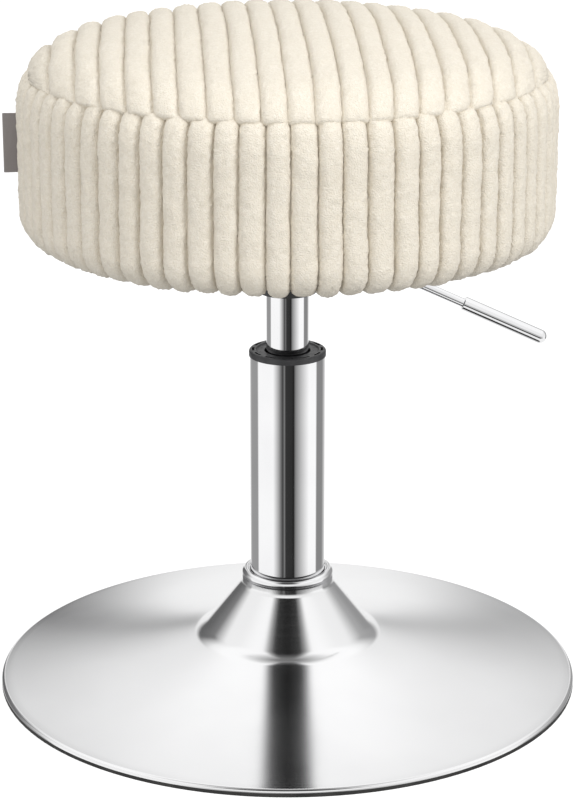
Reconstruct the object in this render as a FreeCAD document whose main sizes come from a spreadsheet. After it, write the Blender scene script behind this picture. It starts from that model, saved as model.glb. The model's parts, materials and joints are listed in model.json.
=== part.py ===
import FreeCAD, Part

import math
import os
import re

import Sketcher
from FreeCAD import Placement, Rotation, Vector

# Swivel stool with a gas lift and a ribbed plush drum seat.
# Millimetres and degrees. The origin is on the floor, on the swivel axis, and +Z points up.
# The release lever points along +X. The seat is drawn at the height of the photograph.

# Driving dimensions: each is written once here and becomes a cell of the sheet.
SIZES = {
    # Floor dish and its rubber ring
    "base_diameter": 390.0,
    "rim_ring_height": 2.5,
    "rim_ring_width": 11.0,
    "rim_lip": 2.5,
    "dish_wall": 1.6,
    "neck_height": 71.0,
    "neck_straight": 2.5,
    "neck_bend": 5.0,
    "cone_slope": 52.0,
    "cone_length": 36.5,
    "knee_radius": 18.0,
    "skirt_slope": 15.0,
    "hub_wall": 4.0,
    "hub_drop": 2.0,
    "collar_tube": 3.2,
    # Column and its cap
    "column_diameter": 50.0,
    "column_wall": 1.8,
    "column_length": 198.0,
    "taper_length": 44.0,
    "taper_proud": 1.5,
    "taper_angle": 1.438,
    "cap_flange": 4.0,
    "cap_overhang": 0.5,
    "cap_edge": 1.4,
    "cap_spigot": 14.0,
    "cap_bore_gap": 1.3,
    "cap_recess": 0.8,
    "cap_rim_width": 4.6,
    "cap_slot_count": 12,
    "cap_slot_inset": 2.0,
    "cap_slot_width": 1.5,
    "cap_slot_depth": 2.2,
    "cap_slot_angle": 19.0,
    "bush_length": 62.0,
    "bush_land": 12.0,
    "bush_relief": 1.2,
    # Gas lift
    "tube_diameter": 28.0,
    "tube_wall": 1.8,
    "tube_showing": 39.5,
    "lower_travel": 36.0,
    "raise_travel": 84.0,
    "end_gap": 0.5,
    "rod_diameter": 10.0,
    "tail_diameter": 8.0,
    "tail_length": 3.0,
    "foot_thickness": 4.0,
    "race_thickness": 1.5,
    "race_diameter": 28.0,
    "ball_diameter": 4.0,
    "ball_circle": 20.0,
    "ball_count": 10,
    "cage_thickness": 1.6,
    "cage_width": 6.4,
    "bumper_height": 8.0,
    "bumper_diameter": 32.0,
    "clip_thickness": 1.2,
    "clip_diameter": 16.0,
    "clip_groove": 1.0,
    "washer_diameter": 22.0,
    "piston_height": 14.0,
    "piston_spigot": 7.0,
    "rivet_height": 1.5,
    "seal_section": 2.0,
    "gland_height": 16.0,
    "valve_ledge": 1.0,
    "valve_drop": 2.0,
    "plug_height": 16.0,
    "pin_diameter": 6.0,
    "pin_showing": 4.7,
    "pin_edge": 0.8,
    "pin_travel": 3.5,
    # Seat mechanism and lever
    "socket_height": 21.0,
    "socket_wall": 5.0,
    "tube_proud": 1.0,
    "housing_height": 38.2,
    "housing_length": 68.0,
    "housing_gap": 40.0,
    "housing_wall": 2.5,
    "web_rise": 6.0,
    "plate_side": 150.0,
    "plate_corner": 12.0,
    "plate_thickness": 3.0,
    "bolt_spacing": 120.0,
    "bolt_diameter": 6.0,
    "bolt_head": 10.0,
    "bolt_head_height": 4.0,
    "bolt_end_gap": 2.0,
    "spring_washer_diameter": 11.0,
    "spring_washer_thickness": 1.5,
    "lever_diameter": 6.0,
    "lever_overhang": 6.0,
    "lever_bend_place": 31.3,
    "lever_bend_radius": 15.0,
    "lever_slope": 24.2,
    "lever_reach": 170.4,
    "grip_diameter": 9.4,
    "grip_length": 60.0,
    "grip_bore_depth": 46.0,
    "pivot_place": 28.0,
    "pivot_pin_diameter": 4.0,
    "pivot_tube_wall": 2.0,
    "pivot_head_diameter": 7.0,
    "pivot_head_height": 1.5,
    "pivot_clip_diameter": 8.0,
    "pivot_clip_thickness": 1.0,
    "pivot_tail": 1.5,
    # Seat board and its fixings
    "board_diameter": 280.0,
    "board_thickness": 15.0,
    "tee_flange_diameter": 19.0,
    "tee_flange_thickness": 1.5,
    "tee_barrel_diameter": 9.0,
    "tee_barrel_length": 9.0,
    # Cushion
    "cushion_diameter": 347.0,
    "cushion_height": 145.0,
    "shoulder_radius": 43.0,
    "crown_slope": 13.0,
    "bottom_radius": 20.0,
    "seam_height": 108.3,
    "rib_pitch": 16.0,
    "rib_height": 5.0,
    "rib_turn": 3.0,
    "side_rib_count": 68,
    "cover_thickness": 2.0,
    "hem_thickness": 2.5,
    "hem_width": 30.0,
    "dust_thickness": 0.7,
    "dust_overlap": 18.0,
    "dust_window_gap": 2.0,
    "staple_count": 24,
    "staple_crown": 10.0,
    "staple_wire": 1.0,
    "staple_leg": 8.0,
    "staple_inset": 9.0,
    "tag_height": 38.0,
    "tag_rise": 45.3,
    "tag_reach": 8.5,
    "tag_thickness": 0.8,
    "tag_angle": 186.0,
    # Clearances: press and slip fits, running fits, and soft or loose neighbours
    "fit_gap": 0.05,
    "running_gap": 0.08,
    "soft_gap": 0.3,
}

doc = FreeCAD.newDocument("SwivelStool")
sheet = doc.addObject("Spreadsheet::Sheet", "Sizes")
for row, (alias, size) in enumerate(SIZES.items(), start=1):
    sheet.set(f"A{row}", alias.replace("_", " "))
    sheet.set(f"B{row}", str(size))
    sheet.setAlias(f"B{row}", alias)
doc.recompute()

pieces = []
WORD = re.compile(r"[a-z]+(?:_[a-z]+)+")


def formula(text):
    """Turn the size names in a formula into the cells of the sheet."""
    return WORD.sub(lambda match: "Sizes." + match.group(0), text)


def value(text):
    """The number that a formula of sizes comes to."""
    result = sheet.evalExpression(formula(text))
    return float(getattr(result, "Value", result))


def piece(shape_object, label):
    """Name a finished sub-part."""
    shape_object.Label = label
    pieces.append(shape_object)
    return shape_object


# Radii and heights that several sub-parts share, as formulas of the sizes

RIM_R = "(base_diameter / 2)"
RIM_TOP = "(rim_ring_height + rim_lip)"
COLUMN_R = "(column_diameter / 2)"
COLUMN_IN = "(column_diameter / 2 - column_wall)"
HUB_R = "(column_diameter / 2 + hub_wall)"
NECK_IN = f"({HUB_R} + fit_gap)"
NECK_OUT = f"({NECK_IN} + dish_wall)"
TAPER_TOP = "(neck_height + taper_proud)"
COLUMN_FOOT = f"({TAPER_TOP} - taper_length)"
COLUMN_TOP = f"({COLUMN_FOOT} + column_length)"
CAP_TOP = f"({COLUMN_TOP} + cap_flange)"
BUSH_TOP = f"({COLUMN_TOP} - cap_spigot)"
TUBE_R = "(tube_diameter / 2)"
TUBE_IN = "(tube_diameter / 2 - tube_wall)"
ROD_R = "(rod_diameter / 2)"
TAIL_R = "(tail_diameter / 2)"
FOOT_TOP = f"({COLUMN_FOOT} + foot_thickness)"
BALL_FLOOR = f"({FOOT_TOP} + race_thickness)"
BALL_ROOF = f"({BALL_FLOOR} + ball_diameter + fit_gap)"
BALL_MIDDLE = f"({BALL_FLOOR} + (ball_diameter + fit_gap) / 2)"
RACE_TOP = f"({BALL_ROOF} + race_thickness)"
BUMPER_TOP = f"({RACE_TOP} + bumper_height)"
WASHER_TOP = f"({COLUMN_FOOT} - running_gap)"
CLIP_TOP = f"({WASHER_TOP} - clip_thickness)"
CLIP_BOTTOM = f"({CLIP_TOP} - clip_thickness)"
TUBE_BOTTOM = f"({BUMPER_TOP} + lower_travel + end_gap)"
PISTON_BOTTOM = f"({TUBE_BOTTOM} + gland_height + raise_travel + end_gap)"
PISTON_TOP = f"({PISTON_BOTTOM} + piston_height)"
SOCKET_BOTTOM = f"({CAP_TOP} + tube_showing)"
SOCKET_TOP = f"({SOCKET_BOTTOM} + socket_height)"
SOCKET_R = "(tube_diameter / 2 + socket_wall)"
TUBE_TOP = f"({SOCKET_TOP} + tube_proud)"
VALVE_LEDGE = f"({SOCKET_BOTTOM} - valve_drop)"
PLUG_BOTTOM = f"({VALVE_LEDGE} - plug_height)"
PIN_R = "(pin_diameter / 2)"
PIN_TOP = f"({TUBE_TOP} + pin_showing)"
PLATE_BOTTOM = f"({SOCKET_BOTTOM} + housing_height)"
PLATE_TOP = f"({PLATE_BOTTOM} + plate_thickness)"
WEB_BOTTOM = f"({SOCKET_BOTTOM} + web_rise)"
LEVER_R = "(lever_diameter / 2)"
LEVER_LEVEL = f"({PIN_TOP} + fit_gap + {LEVER_R})"
PIVOT_TUBE_R = "(pivot_pin_diameter / 2 + running_gap + pivot_tube_wall)"
PIVOT_LEVEL = f"({LEVER_LEVEL} - {LEVER_R} - fit_gap - {PIVOT_TUBE_R})"
BOARD_TOP = f"({PLATE_TOP} + board_thickness)"
BOARD_R = "(board_diameter / 2)"
CUSHION_BOTTOM = f"({PLATE_TOP} - hem_thickness)"
HEM_IN = "(board_diameter / 2 - hem_width)"


def taper(at_height):
    """How far the column's taper has drawn in at a height."""
    return f"(({TAPER_TOP} - {at_height}) * tan(taper_angle))"


def origin_plane(body, role):
    for feature in body.Origin.OriginFeatures:
        if feature.Role == role:
            return feature
    raise LookupError(role)


def arc_between(start, end, radius, turn):
    """The short arc from start to end, turning left or right on its way."""
    chord = end - start
    middle = start + chord * 0.5
    left = Vector(-chord.y, chord.x, 0)
    left.normalize()
    side = 1 if turn == "left" else -1
    height = math.sqrt(max(radius ** 2 - (chord.Length / 2) ** 2, 0.0))
    centre = middle + left * (side * height)
    circle = Part.Circle(centre, Vector(0, 0, 1), radius)
    first, last = (start, end) if turn == "left" else (end, start)
    return Part.ArcOfCircle(circle, circle.parameter(first), circle.parameter(last))


def pin_coordinate(sketch, kind, corner, text):
    """Hold one coordinate of a corner at a formula of the sizes."""
    geometry, end = corner
    amount = value(text)
    if amount == 0:
        axis = -2 if kind == "DistanceX" else -1
        sketch.addConstraint(Sketcher.Constraint("PointOnObject", geometry, end, axis))
        return
    order = (-1, 1, geometry, end) if amount > 0 else (geometry, end, -1, 1)
    index = sketch.addConstraint(Sketcher.Constraint(kind, *order, abs(amount)))
    sketch.setExpression(f"Constraints[{index}]", formula(text if amount > 0 else f"-({text})"))


def outline(body, role, corners):
    """A closed outline: each corner is (across, up), or with a radius and a turn for an arc to the next."""
    sketch = body.newObject("Sketcher::SketchObject", "Outline")
    sketch.AttachmentSupport = [(origin_plane(body, role), "")]
    sketch.MapMode = "FlatFace"
    points = [Vector(value(corner[0]), value(corner[1]), 0) for corner in corners]
    starts = []
    ends = []
    for number, corner in enumerate(corners):
        start = points[number]
        end = points[(number + 1) % len(points)]
        if len(corner) == 2:
            index = sketch.addGeometry(Part.LineSegment(start, end))
            first, last = 1, 2
        else:
            index = sketch.addGeometry(arc_between(start, end, value(corner[2]), corner[3]))
            first, last = (1, 2) if corner[3] == "left" else (2, 1)
        starts.append((index, first))
        ends.append((index, last))
    for number, corner in enumerate(corners):
        sketch.addConstraint(Sketcher.Constraint("Coincident", *ends[number - 1], *starts[number]))
        pin_coordinate(sketch, "DistanceX", starts[number], corner[0])
        pin_coordinate(sketch, "DistanceY", starts[number], corner[1])
        if len(corner) > 2:
            radius = sketch.addConstraint(Sketcher.Constraint("Radius", starts[number][0], value(corner[2])))
            sketch.setExpression(f"Constraints[{radius}]", formula(corner[2]))
    return sketch


def revolved_body(name, corners):
    """A body turned about the swivel axis from an outline of (radius, height)."""
    body = doc.addObject("PartDesign::Body", name)
    sketch = outline(body, "XZ_Plane", corners)
    revolution = body.newObject("PartDesign::Revolution", "Turned")
    revolution.Profile = sketch
    revolution.ReferenceAxis = (sketch, ["V_Axis"])
    revolution.Angle = 360
    doc.recompute()
    return body


def turned(label, corners):
    """A sub-part that is turned about the swivel axis and needs nothing more."""
    return piece(revolved_body(label, corners), label)


def ring(label, inner, outer, bottom, top):
    """A plain turned ring."""
    return turned(label, [(inner, bottom), (outer, bottom), (outer, top), (inner, top)])


def bind(shape_object, **formulas):
    """Bind properties to formulas; base_x, base_y and base_z place the object."""
    for name, text in formulas.items():
        path = f"Placement.Base.{name[-1]}" if name.startswith("base_") else name
        shape_object.setExpression(path, formula(text))
    return shape_object


def cylinder(radius, bottom, height, across="0", along="0"):
    """An upright cylinder."""
    solid = doc.addObject("Part::Cylinder", "Cylinder")
    return bind(solid, Radius=radius, Height=height, base_x=across, base_y=along, base_z=bottom)


def cross_cylinder(radius, across, start, length, level):
    """A cylinder that lies along Y."""
    solid = doc.addObject("Part::Cylinder", "CrossCylinder")
    solid.Placement = Placement(Vector(), Rotation(Vector(1, 0, 0), -90))
    return bind(solid, Radius=radius, Height=length, base_x=across, base_y=start, base_z=level)


def cut(base, *tools):
    """Take tools away from a base."""
    result = doc.addObject("Part::Cut", "Cut")
    result.Base = base
    result.Tool = tools[0] if len(tools) == 1 else fuse(*tools)
    return result


def fuse(*solids):
    """Join solids into one."""
    result = doc.addObject("Part::MultiFuse", "Fuse")
    result.Shapes = list(solids)
    return result


def group(label, solids):
    """Like pieces that share one node, each still a solid of its own."""
    result = doc.addObject("Part::Compound", "Group")
    result.Links = list(solids)
    return piece(result, label)


def bolt_places():
    """The four corners of the bolt square, as formulas."""
    half = "(bolt_spacing / 2)"
    return [(across, along) for across in (half, f"-{half}") for along in (half, f"-{half}")]


def build_base_dish():
    """Spun dish: short neck, steep cone, rounded knee, wide skirt and a rolled rim, all of one wall."""
    bend_r = f"({NECK_OUT} + neck_bend)"
    bend_z = "(neck_height - neck_straight)"
    knee_step = "(knee_radius - neck_bend)"
    knee_r = f"({bend_r} + cone_length * cos(cone_slope) + {knee_step} * sin(cone_slope))"
    knee_z = f"({bend_z} - cone_length * sin(cone_slope) + {knee_step} * cos(cone_slope))"

    def around(centre, radius, slope):
        """Where a wall round a centre has come to a slope."""
        return f"({centre[0]} - {radius} * sin({slope}))", f"({centre[1]} - {radius} * cos({slope}))"

    bend = (bend_r, bend_z)
    knee = (knee_r, knee_z)
    bend_under = "(neck_bend + dish_wall)"
    knee_under = "(knee_radius + dish_wall)"
    skirt_start = around(knee, "knee_radius", "skirt_slope")
    lip_r = f"({RIM_R} - rim_lip)"
    run = f"({lip_r} - {skirt_start[0]})"
    fall = f"({skirt_start[1]} - {RIM_TOP})"
    skirt_radius = f"(sqrt({run} ^ 2 + {fall} ^ 2) / (2 * sin(skirt_slope * 1 deg - atan({fall} / {run}))))"
    turned("base_dish", [
        (NECK_IN, "neck_height"),
        (NECK_OUT, "neck_height"),
        (NECK_OUT, bend_z, "neck_bend", "left"),
        around(bend, "neck_bend", "cone_slope"),
        (*around(knee, "knee_radius", "cone_slope"), "knee_radius", "left"),
        (*skirt_start, skirt_radius, "left"),
        (lip_r, RIM_TOP, "rim_lip", "right"),
        (RIM_R, "rim_ring_height"),
        (f"({RIM_R} - dish_wall)", "rim_ring_height", "(rim_lip - dish_wall)", "left"),
        (lip_r, f"({RIM_TOP} - dish_wall)", f"({skirt_radius} + dish_wall)", "right"),
        (*around(knee, knee_under, "skirt_slope"), knee_under, "right"),
        around(knee, knee_under, "cone_slope"),
        (*around(bend, bend_under, "cone_slope"), bend_under, "right"),
        (NECK_IN, bend_z),
    ])


def build_base():
    """What stays on the floor: dish, ring, hub, column, cap and the fixed half of the bearing."""
    build_base_dish()
    step_r = f"({RIM_R} - rim_lip - fit_gap)"
    step_z = f"({RIM_TOP} - dish_wall - fit_gap)"
    ring_in = f"({RIM_R} - rim_ring_width)"
    turned("rim_ring", [
        (ring_in, "0"),
        (RIM_R, "0"),
        (RIM_R, "rim_ring_height"),
        (step_r, "rim_ring_height"),
        (step_r, step_z),
        (ring_in, step_z),
    ])
    hub_foot = f"({COLUMN_FOOT} - hub_drop)"
    turned("base_hub", [
        (f"({COLUMN_R} + fit_gap - {taper(hub_foot)})", hub_foot),
        (HUB_R, hub_foot),
        (HUB_R, "neck_height"),
        (f"({COLUMN_R} + fit_gap - {taper('neck_height')})", "neck_height"),
    ])
    build_collar_ring()
    turned("outer_column", [
        (f"({COLUMN_IN} - {taper(COLUMN_FOOT)})", COLUMN_FOOT),
        (f"({COLUMN_R} - {taper(COLUMN_FOOT)})", COLUMN_FOOT),
        (COLUMN_R, TAPER_TOP),
        (COLUMN_R, COLUMN_TOP),
        (COLUMN_IN, COLUMN_TOP),
        (COLUMN_IN, TAPER_TOP),
    ])
    build_column_cap()
    bush_foot = f"({BUSH_TOP} - bush_length)"
    bush_r = f"({COLUMN_IN} - fit_gap)"
    bush_in = f"({TUBE_R} + running_gap)"
    relief_r = f"({bush_r} - bush_relief)"
    turned("guide_bush", [
        (bush_in, bush_foot),
        (bush_r, bush_foot),
        (bush_r, f"({bush_foot} + bush_land)"),
        (relief_r, f"({bush_foot} + bush_land)"),
        (relief_r, f"({BUSH_TOP} - bush_land)"),
        (bush_r, f"({BUSH_TOP} - bush_land)"),
        (bush_r, BUSH_TOP),
        (bush_in, BUSH_TOP),
    ])
    turned("column_foot", [
        (f"({TAIL_R} + running_gap)", COLUMN_FOOT),
        (f"({COLUMN_IN} - fit_gap - {taper(COLUMN_FOOT)})", COLUMN_FOOT),
        (f"({COLUMN_IN} - fit_gap - {taper(FOOT_TOP)})", FOOT_TOP),
        (f"({TAIL_R} + running_gap)", FOOT_TOP),
    ])
    ring("lower_race", f"({TAIL_R} + soft_gap)", "(race_diameter / 2)", FOOT_TOP, BALL_FLOOR)


def build_collar_ring():
    """Round chrome ring on top of the neck, bored for the column and flat underneath."""
    torus = doc.addObject("Part::Torus", "CollarRound")
    seat = "(0.8 * collar_tube)"
    bore = f"({COLUMN_R} + soft_gap)"
    bind(torus, Radius1=f"{bore} + 0.7 * collar_tube", Radius2="collar_tube", base_z=f"neck_height + {seat}")
    hole = cylinder(bore, "neck_height - collar_tube", "4 * collar_tube")
    slab = cylinder(f"{bore} + 4 * collar_tube", "neck_height - collar_tube", "collar_tube")
    piece(cut(torus, hole, slab), "collar_ring")


def build_column_cap():
    """Black cap: spigot in the column, flange with a raised rim and a ring of short slots."""
    bore = f"({TUBE_R} + cap_bore_gap)"
    spigot_r = f"({COLUMN_IN} - fit_gap)"
    flange_r = f"({COLUMN_R} + cap_overhang)"
    floor_r = f"({flange_r} - cap_rim_width)"
    body = revolved_body("column_cap", [
        (bore, BUSH_TOP),
        (spigot_r, BUSH_TOP),
        (spigot_r, COLUMN_TOP),
        (flange_r, COLUMN_TOP),
        (flange_r, f"({CAP_TOP} - cap_edge)", "cap_edge", "left"),
        (f"({flange_r} - cap_edge)", CAP_TOP),
        (floor_r, CAP_TOP),
        (f"({floor_r} - cap_recess)", f"({CAP_TOP} - cap_recess)"),
        (bore, f"({CAP_TOP} - cap_recess)"),
    ])
    slot_out = f"({flange_r} - cap_slot_inset)"
    slot_in = f"({slot_out} - cap_slot_width)"
    half = "(cap_slot_angle / 2)"
    slot = outline(body, "XY_Plane", [
        (f"({slot_in} * cos({half}))", f"(-{slot_in} * sin({half}))"),
        (f"({slot_out} * cos({half}))", f"(-{slot_out} * sin({half}))", slot_out, "left"),
        (f"({slot_out} * cos({half}))", f"({slot_out} * sin({half}))"),
        (f"({slot_in} * cos({half}))", f"({slot_in} * sin({half}))", slot_in, "right"),
    ])
    slot.setExpression("AttachmentOffset.Base.z", formula(CAP_TOP))
    pocket = body.newObject("PartDesign::Pocket", "Slot")
    pocket.Profile = slot
    bind(pocket, Length="cap_slot_depth")
    pattern = body.newObject("PartDesign::PolarPattern", "Slots")
    pattern.Originals = [pocket]
    pattern.Axis = (slot, ["N_Axis"])
    pattern.Angle = 360
    bind(pattern, Occurrences="cap_slot_count")
    body.Tip = pattern
    piece(body, "column_cap")


def build_spindle():
    """What turns with the seat but does not rise: rod, piston, bearing and end stop."""
    tail_foot = f"({CLIP_BOTTOM} - tail_length)"
    groove_r = f"({TAIL_R} - clip_groove)"
    spigot_r = "(piston_spigot / 2)"
    rod_top = f"({PISTON_TOP} + rivet_height)"
    turned("piston_rod", [
        ("0", tail_foot),
        (TAIL_R, tail_foot),
        (TAIL_R, f"({CLIP_BOTTOM} - fit_gap)"),
        (groove_r, f"({CLIP_BOTTOM} - fit_gap)"),
        (groove_r, CLIP_TOP),
        (TAIL_R, CLIP_TOP),
        (TAIL_R, RACE_TOP),
        (ROD_R, RACE_TOP),
        (ROD_R, PISTON_BOTTOM),
        (spigot_r, PISTON_BOTTOM),
        (spigot_r, rod_top),
        ("0", rod_top),
    ])
    piston_r = f"({TUBE_IN} - running_gap)"
    seal_middle = f"({PISTON_BOTTOM} + piston_height / 2)"
    seal_floor = f"({piston_r} - seal_section - fit_gap)"
    seal_half = "(seal_section / 2 + fit_gap)"
    turned("piston", [
        (f"({spigot_r} + fit_gap)", PISTON_BOTTOM),
        (piston_r, PISTON_BOTTOM),
        (piston_r, f"({seal_middle} - {seal_half})"),
        (seal_floor, f"({seal_middle} - {seal_half})"),
        (seal_floor, f"({seal_middle} + {seal_half})"),
        (piston_r, f"({seal_middle} + {seal_half})"),
        (piston_r, PISTON_TOP),
        (f"({spigot_r} + fit_gap)", PISTON_TOP),
    ])
    seal = doc.addObject("Part::Torus", "Seal")
    bind(seal, Radius1=f"{piston_r} - seal_section / 2", Radius2="seal_section / 2", base_z=seal_middle)
    piece(seal, "piston_seal")
    build_bearing()
    ring("upper_race", f"({TAIL_R} + fit_gap)", "(race_diameter / 2)", BALL_ROOF, RACE_TOP)
    ring("rubber_bumper", f"({ROD_R} + soft_gap)", "(bumper_diameter / 2)", RACE_TOP, BUMPER_TOP)
    ring("rod_washer", f"({TAIL_R} + running_gap)", "(washer_diameter / 2)", CLIP_TOP, WASHER_TOP)
    blank = cylinder("clip_diameter / 2", CLIP_BOTTOM, "clip_thickness")
    bore = cylinder(f"{groove_r} + fit_gap", CLIP_BOTTOM, "clip_thickness")
    mouth = doc.addObject("Part::Box", "Mouth")
    bind(mouth, Length="clip_diameter", Width=f"2 * {groove_r}", Height="clip_thickness",
         base_y=f"-{groove_r}", base_z=CLIP_BOTTOM)
    piece(cut(blank, bore, mouth), "retaining_clip")


def build_bearing():
    """Thrust bearing: a ring of balls in a cage with one pocket for each."""
    count = int(value("ball_count"))
    balls = []
    for number in range(count):
        ball = doc.addObject("Part::Sphere", "Ball")
        turn = f"(360 * {number} / ball_count)"
        bind(ball, Radius="ball_diameter / 2", base_x=f"ball_circle / 2 * cos({turn})",
             base_y=f"ball_circle / 2 * sin({turn})", base_z=BALL_MIDDLE)
        balls.append(ball)
    group("bearing_balls", balls)
    cage_foot = f"({BALL_MIDDLE} - cage_thickness / 2)"
    cage_top = f"({BALL_MIDDLE} + cage_thickness / 2)"
    inner = "(ball_circle / 2 - cage_width / 2)"
    outer = "(ball_circle / 2 + cage_width / 2)"
    body = revolved_body("bearing_cage", [
        (inner, cage_foot), (outer, cage_foot), (outer, cage_top), (inner, cage_top),
    ])
    sketch = body.newObject("Sketcher::SketchObject", "PocketCircle")
    sketch.AttachmentSupport = [(origin_plane(body, "XY_Plane"), "")]
    sketch.MapMode = "FlatFace"
    sketch.setExpression("AttachmentOffset.Base.z", formula(cage_top))
    pocket_r = "(ball_diameter / 2 + running_gap)"
    centre = Vector(value("ball_circle / 2"), 0, 0)
    circle = sketch.addGeometry(Part.Circle(centre, Vector(0, 0, 1), value(pocket_r)))
    sketch.addConstraint(Sketcher.Constraint("PointOnObject", circle, 3, -1))
    pin_coordinate(sketch, "DistanceX", (circle, 3), "ball_circle / 2")
    radius = sketch.addConstraint(Sketcher.Constraint("Radius", circle, value(pocket_r)))
    sketch.setExpression(f"Constraints[{radius}]", formula(pocket_r))
    pocket = body.newObject("PartDesign::Pocket", "BallPocket")
    pocket.Profile = sketch
    bind(pocket, Length="cage_thickness")
    pattern = body.newObject("PartDesign::PolarPattern", "BallPockets")
    pattern.Originals = [pocket]
    pattern.Axis = (sketch, ["N_Axis"])
    pattern.Angle = 360
    bind(pattern, Occurrences="ball_count")
    body.Tip = pattern
    piece(body, "bearing_cage")


def socket_taper(at_height):
    """How far the top of the pressure tube has drawn in at a height."""
    return f"(({at_height} - {SOCKET_BOTTOM}) * tan(taper_angle))"


def build_pressure_tube():
    """The tube that rises with the seat, and what closes its two ends."""
    mouth_r = f"({TUBE_IN} - valve_ledge)"
    turned("gas_cylinder", [
        (TUBE_IN, TUBE_BOTTOM),
        (TUBE_R, TUBE_BOTTOM),
        (TUBE_R, SOCKET_BOTTOM),
        (f"({TUBE_R} - {socket_taper(TUBE_TOP)})", TUBE_TOP),
        (mouth_r, TUBE_TOP),
        (mouth_r, VALVE_LEDGE),
        (TUBE_IN, VALVE_LEDGE),
    ])
    ring("cylinder_gland", f"({ROD_R} + running_gap)", f"({TUBE_IN} - fit_gap)",
         TUBE_BOTTOM, f"({TUBE_BOTTOM} + gland_height)")
    pin_bore = f"({PIN_R} + running_gap)"
    ring("valve_plug", pin_bore, f"({TUBE_IN} - fit_gap)", PLUG_BOTTOM, VALVE_LEDGE)
    ring("pin_guide", pin_bore, f"({mouth_r} - fit_gap)", VALVE_LEDGE, TUBE_TOP)
    pin_foot = f"({PLUG_BOTTOM} + pin_travel)"
    turned("release_pin", [
        ("0", pin_foot),
        (PIN_R, pin_foot),
        (PIN_R, f"({PIN_TOP} - pin_edge)", "pin_edge", "left"),
        (f"({PIN_R} - pin_edge)", PIN_TOP),
        ("0", PIN_TOP),
    ])


def build_mechanism():
    """Socket, channel, plate and fixings between the pressure tube and the board."""
    turned("taper_socket", [
        (f"({TUBE_R} + fit_gap)", SOCKET_BOTTOM),
        (SOCKET_R, SOCKET_BOTTOM),
        (SOCKET_R, SOCKET_TOP),
        (f"({TUBE_R} + fit_gap - {socket_taper(SOCKET_TOP)})", SOCKET_TOP),
    ])
    build_housing()
    build_plate()
    build_fixings()


def build_housing():
    """Bent channel: a web round the socket and two walls up to the plate, bored for the pivot pin."""
    inside = "(housing_gap / 2)"
    outside = "(housing_gap / 2 + housing_wall)"
    web_top = f"({WEB_BOTTOM} + housing_wall)"
    body = doc.addObject("PartDesign::Body", "Channel")
    sketch = outline(body, "YZ_Plane", [
        (f"-{outside}", WEB_BOTTOM),
        (outside, WEB_BOTTOM),
        (outside, PLATE_BOTTOM),
        (inside, PLATE_BOTTOM),
        (inside, web_top),
        (f"-{inside}", web_top),
        (f"-{inside}", PLATE_BOTTOM),
        (f"-{outside}", PLATE_BOTTOM),
    ])
    pad = body.newObject("PartDesign::Pad", "ChannelLength")
    pad.Profile = sketch
    pad.SideType = "Symmetric"
    bind(pad, Length="housing_length")
    socket_hole = cylinder(f"{SOCKET_R} + fit_gap", WEB_BOTTOM, "housing_wall")
    pin_hole = cross_cylinder("pivot_pin_diameter / 2 + running_gap", "pivot_place", f"-{outside}",
                              f"2 * {outside}", PIVOT_LEVEL)
    piece(cut(body, socket_hole, pin_hole), "mechanism_housing")


def build_plate():
    """Square steel plate with rounded corners and four bolt holes."""
    half = "(plate_side / 2)"
    short = "(plate_side / 2 - plate_corner)"
    body = doc.addObject("PartDesign::Body", "Plate")
    sketch = outline(body, "XY_Plane", [
        (f"-{short}", f"-{half}"),
        (short, f"-{half}", "plate_corner", "left"),
        (half, f"-{short}"),
        (half, short, "plate_corner", "left"),
        (short, half),
        (f"-{short}", half, "plate_corner", "left"),
        (f"-{half}", short),
        (f"-{half}", f"-{short}", "plate_corner", "left"),
    ])
    sketch.setExpression("AttachmentOffset.Base.z", formula(PLATE_BOTTOM))
    pad = body.newObject("PartDesign::Pad", "PlateThickness")
    pad.Profile = sketch
    bind(pad, Length="plate_thickness")
    holes = [cylinder("bolt_diameter / 2 + soft_gap", PLATE_BOTTOM, "plate_thickness", across, along)
             for across, along in bolt_places()]
    piece(cut(body, *holes), "mounting_plate")


def build_fixings():
    """Four bolts with spring washers, and the tee nuts that they screw into."""
    washer_bottom = f"({PLATE_BOTTOM} - spring_washer_thickness)"
    head_bottom = f"({washer_bottom} - bolt_head_height)"
    shank = "spring_washer_thickness + plate_thickness + board_thickness - bolt_end_gap"
    flange_bottom = f"({BOARD_TOP} - tee_flange_thickness)"
    barrel_bottom = f"({BOARD_TOP} - tee_flange_thickness - tee_barrel_length)"
    bolts = []
    washers = []
    nuts = []
    for across, along in bolt_places():
        head = doc.addObject("Part::Prism", "BoltHead")
        head.Polygon = 6
        bind(head, Circumradius="bolt_head / 2 / cos(30)", Height="bolt_head_height",
             base_x=across, base_y=along, base_z=head_bottom)
        bolts.append(fuse(head, cylinder("bolt_diameter / 2", washer_bottom, shank, across, along)))
        washers.append(cut(
            cylinder("spring_washer_diameter / 2", washer_bottom, "spring_washer_thickness", across, along),
            cylinder("bolt_diameter / 2 + soft_gap", washer_bottom, "spring_washer_thickness", across, along)))
        flange = cylinder("tee_flange_diameter / 2", flange_bottom, "tee_flange_thickness", across, along)
        barrel = cylinder("tee_barrel_diameter / 2", barrel_bottom, "tee_barrel_length", across, along)
        bore = cylinder("bolt_diameter / 2 + fit_gap", barrel_bottom,
                        "tee_barrel_length + tee_flange_thickness", across, along)
        nuts.append(cut(fuse(flange, barrel), bore))
    group("plate_bolts", bolts)
    group("spring_washers", washers)
    group("tee_nuts", nuts)


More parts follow.
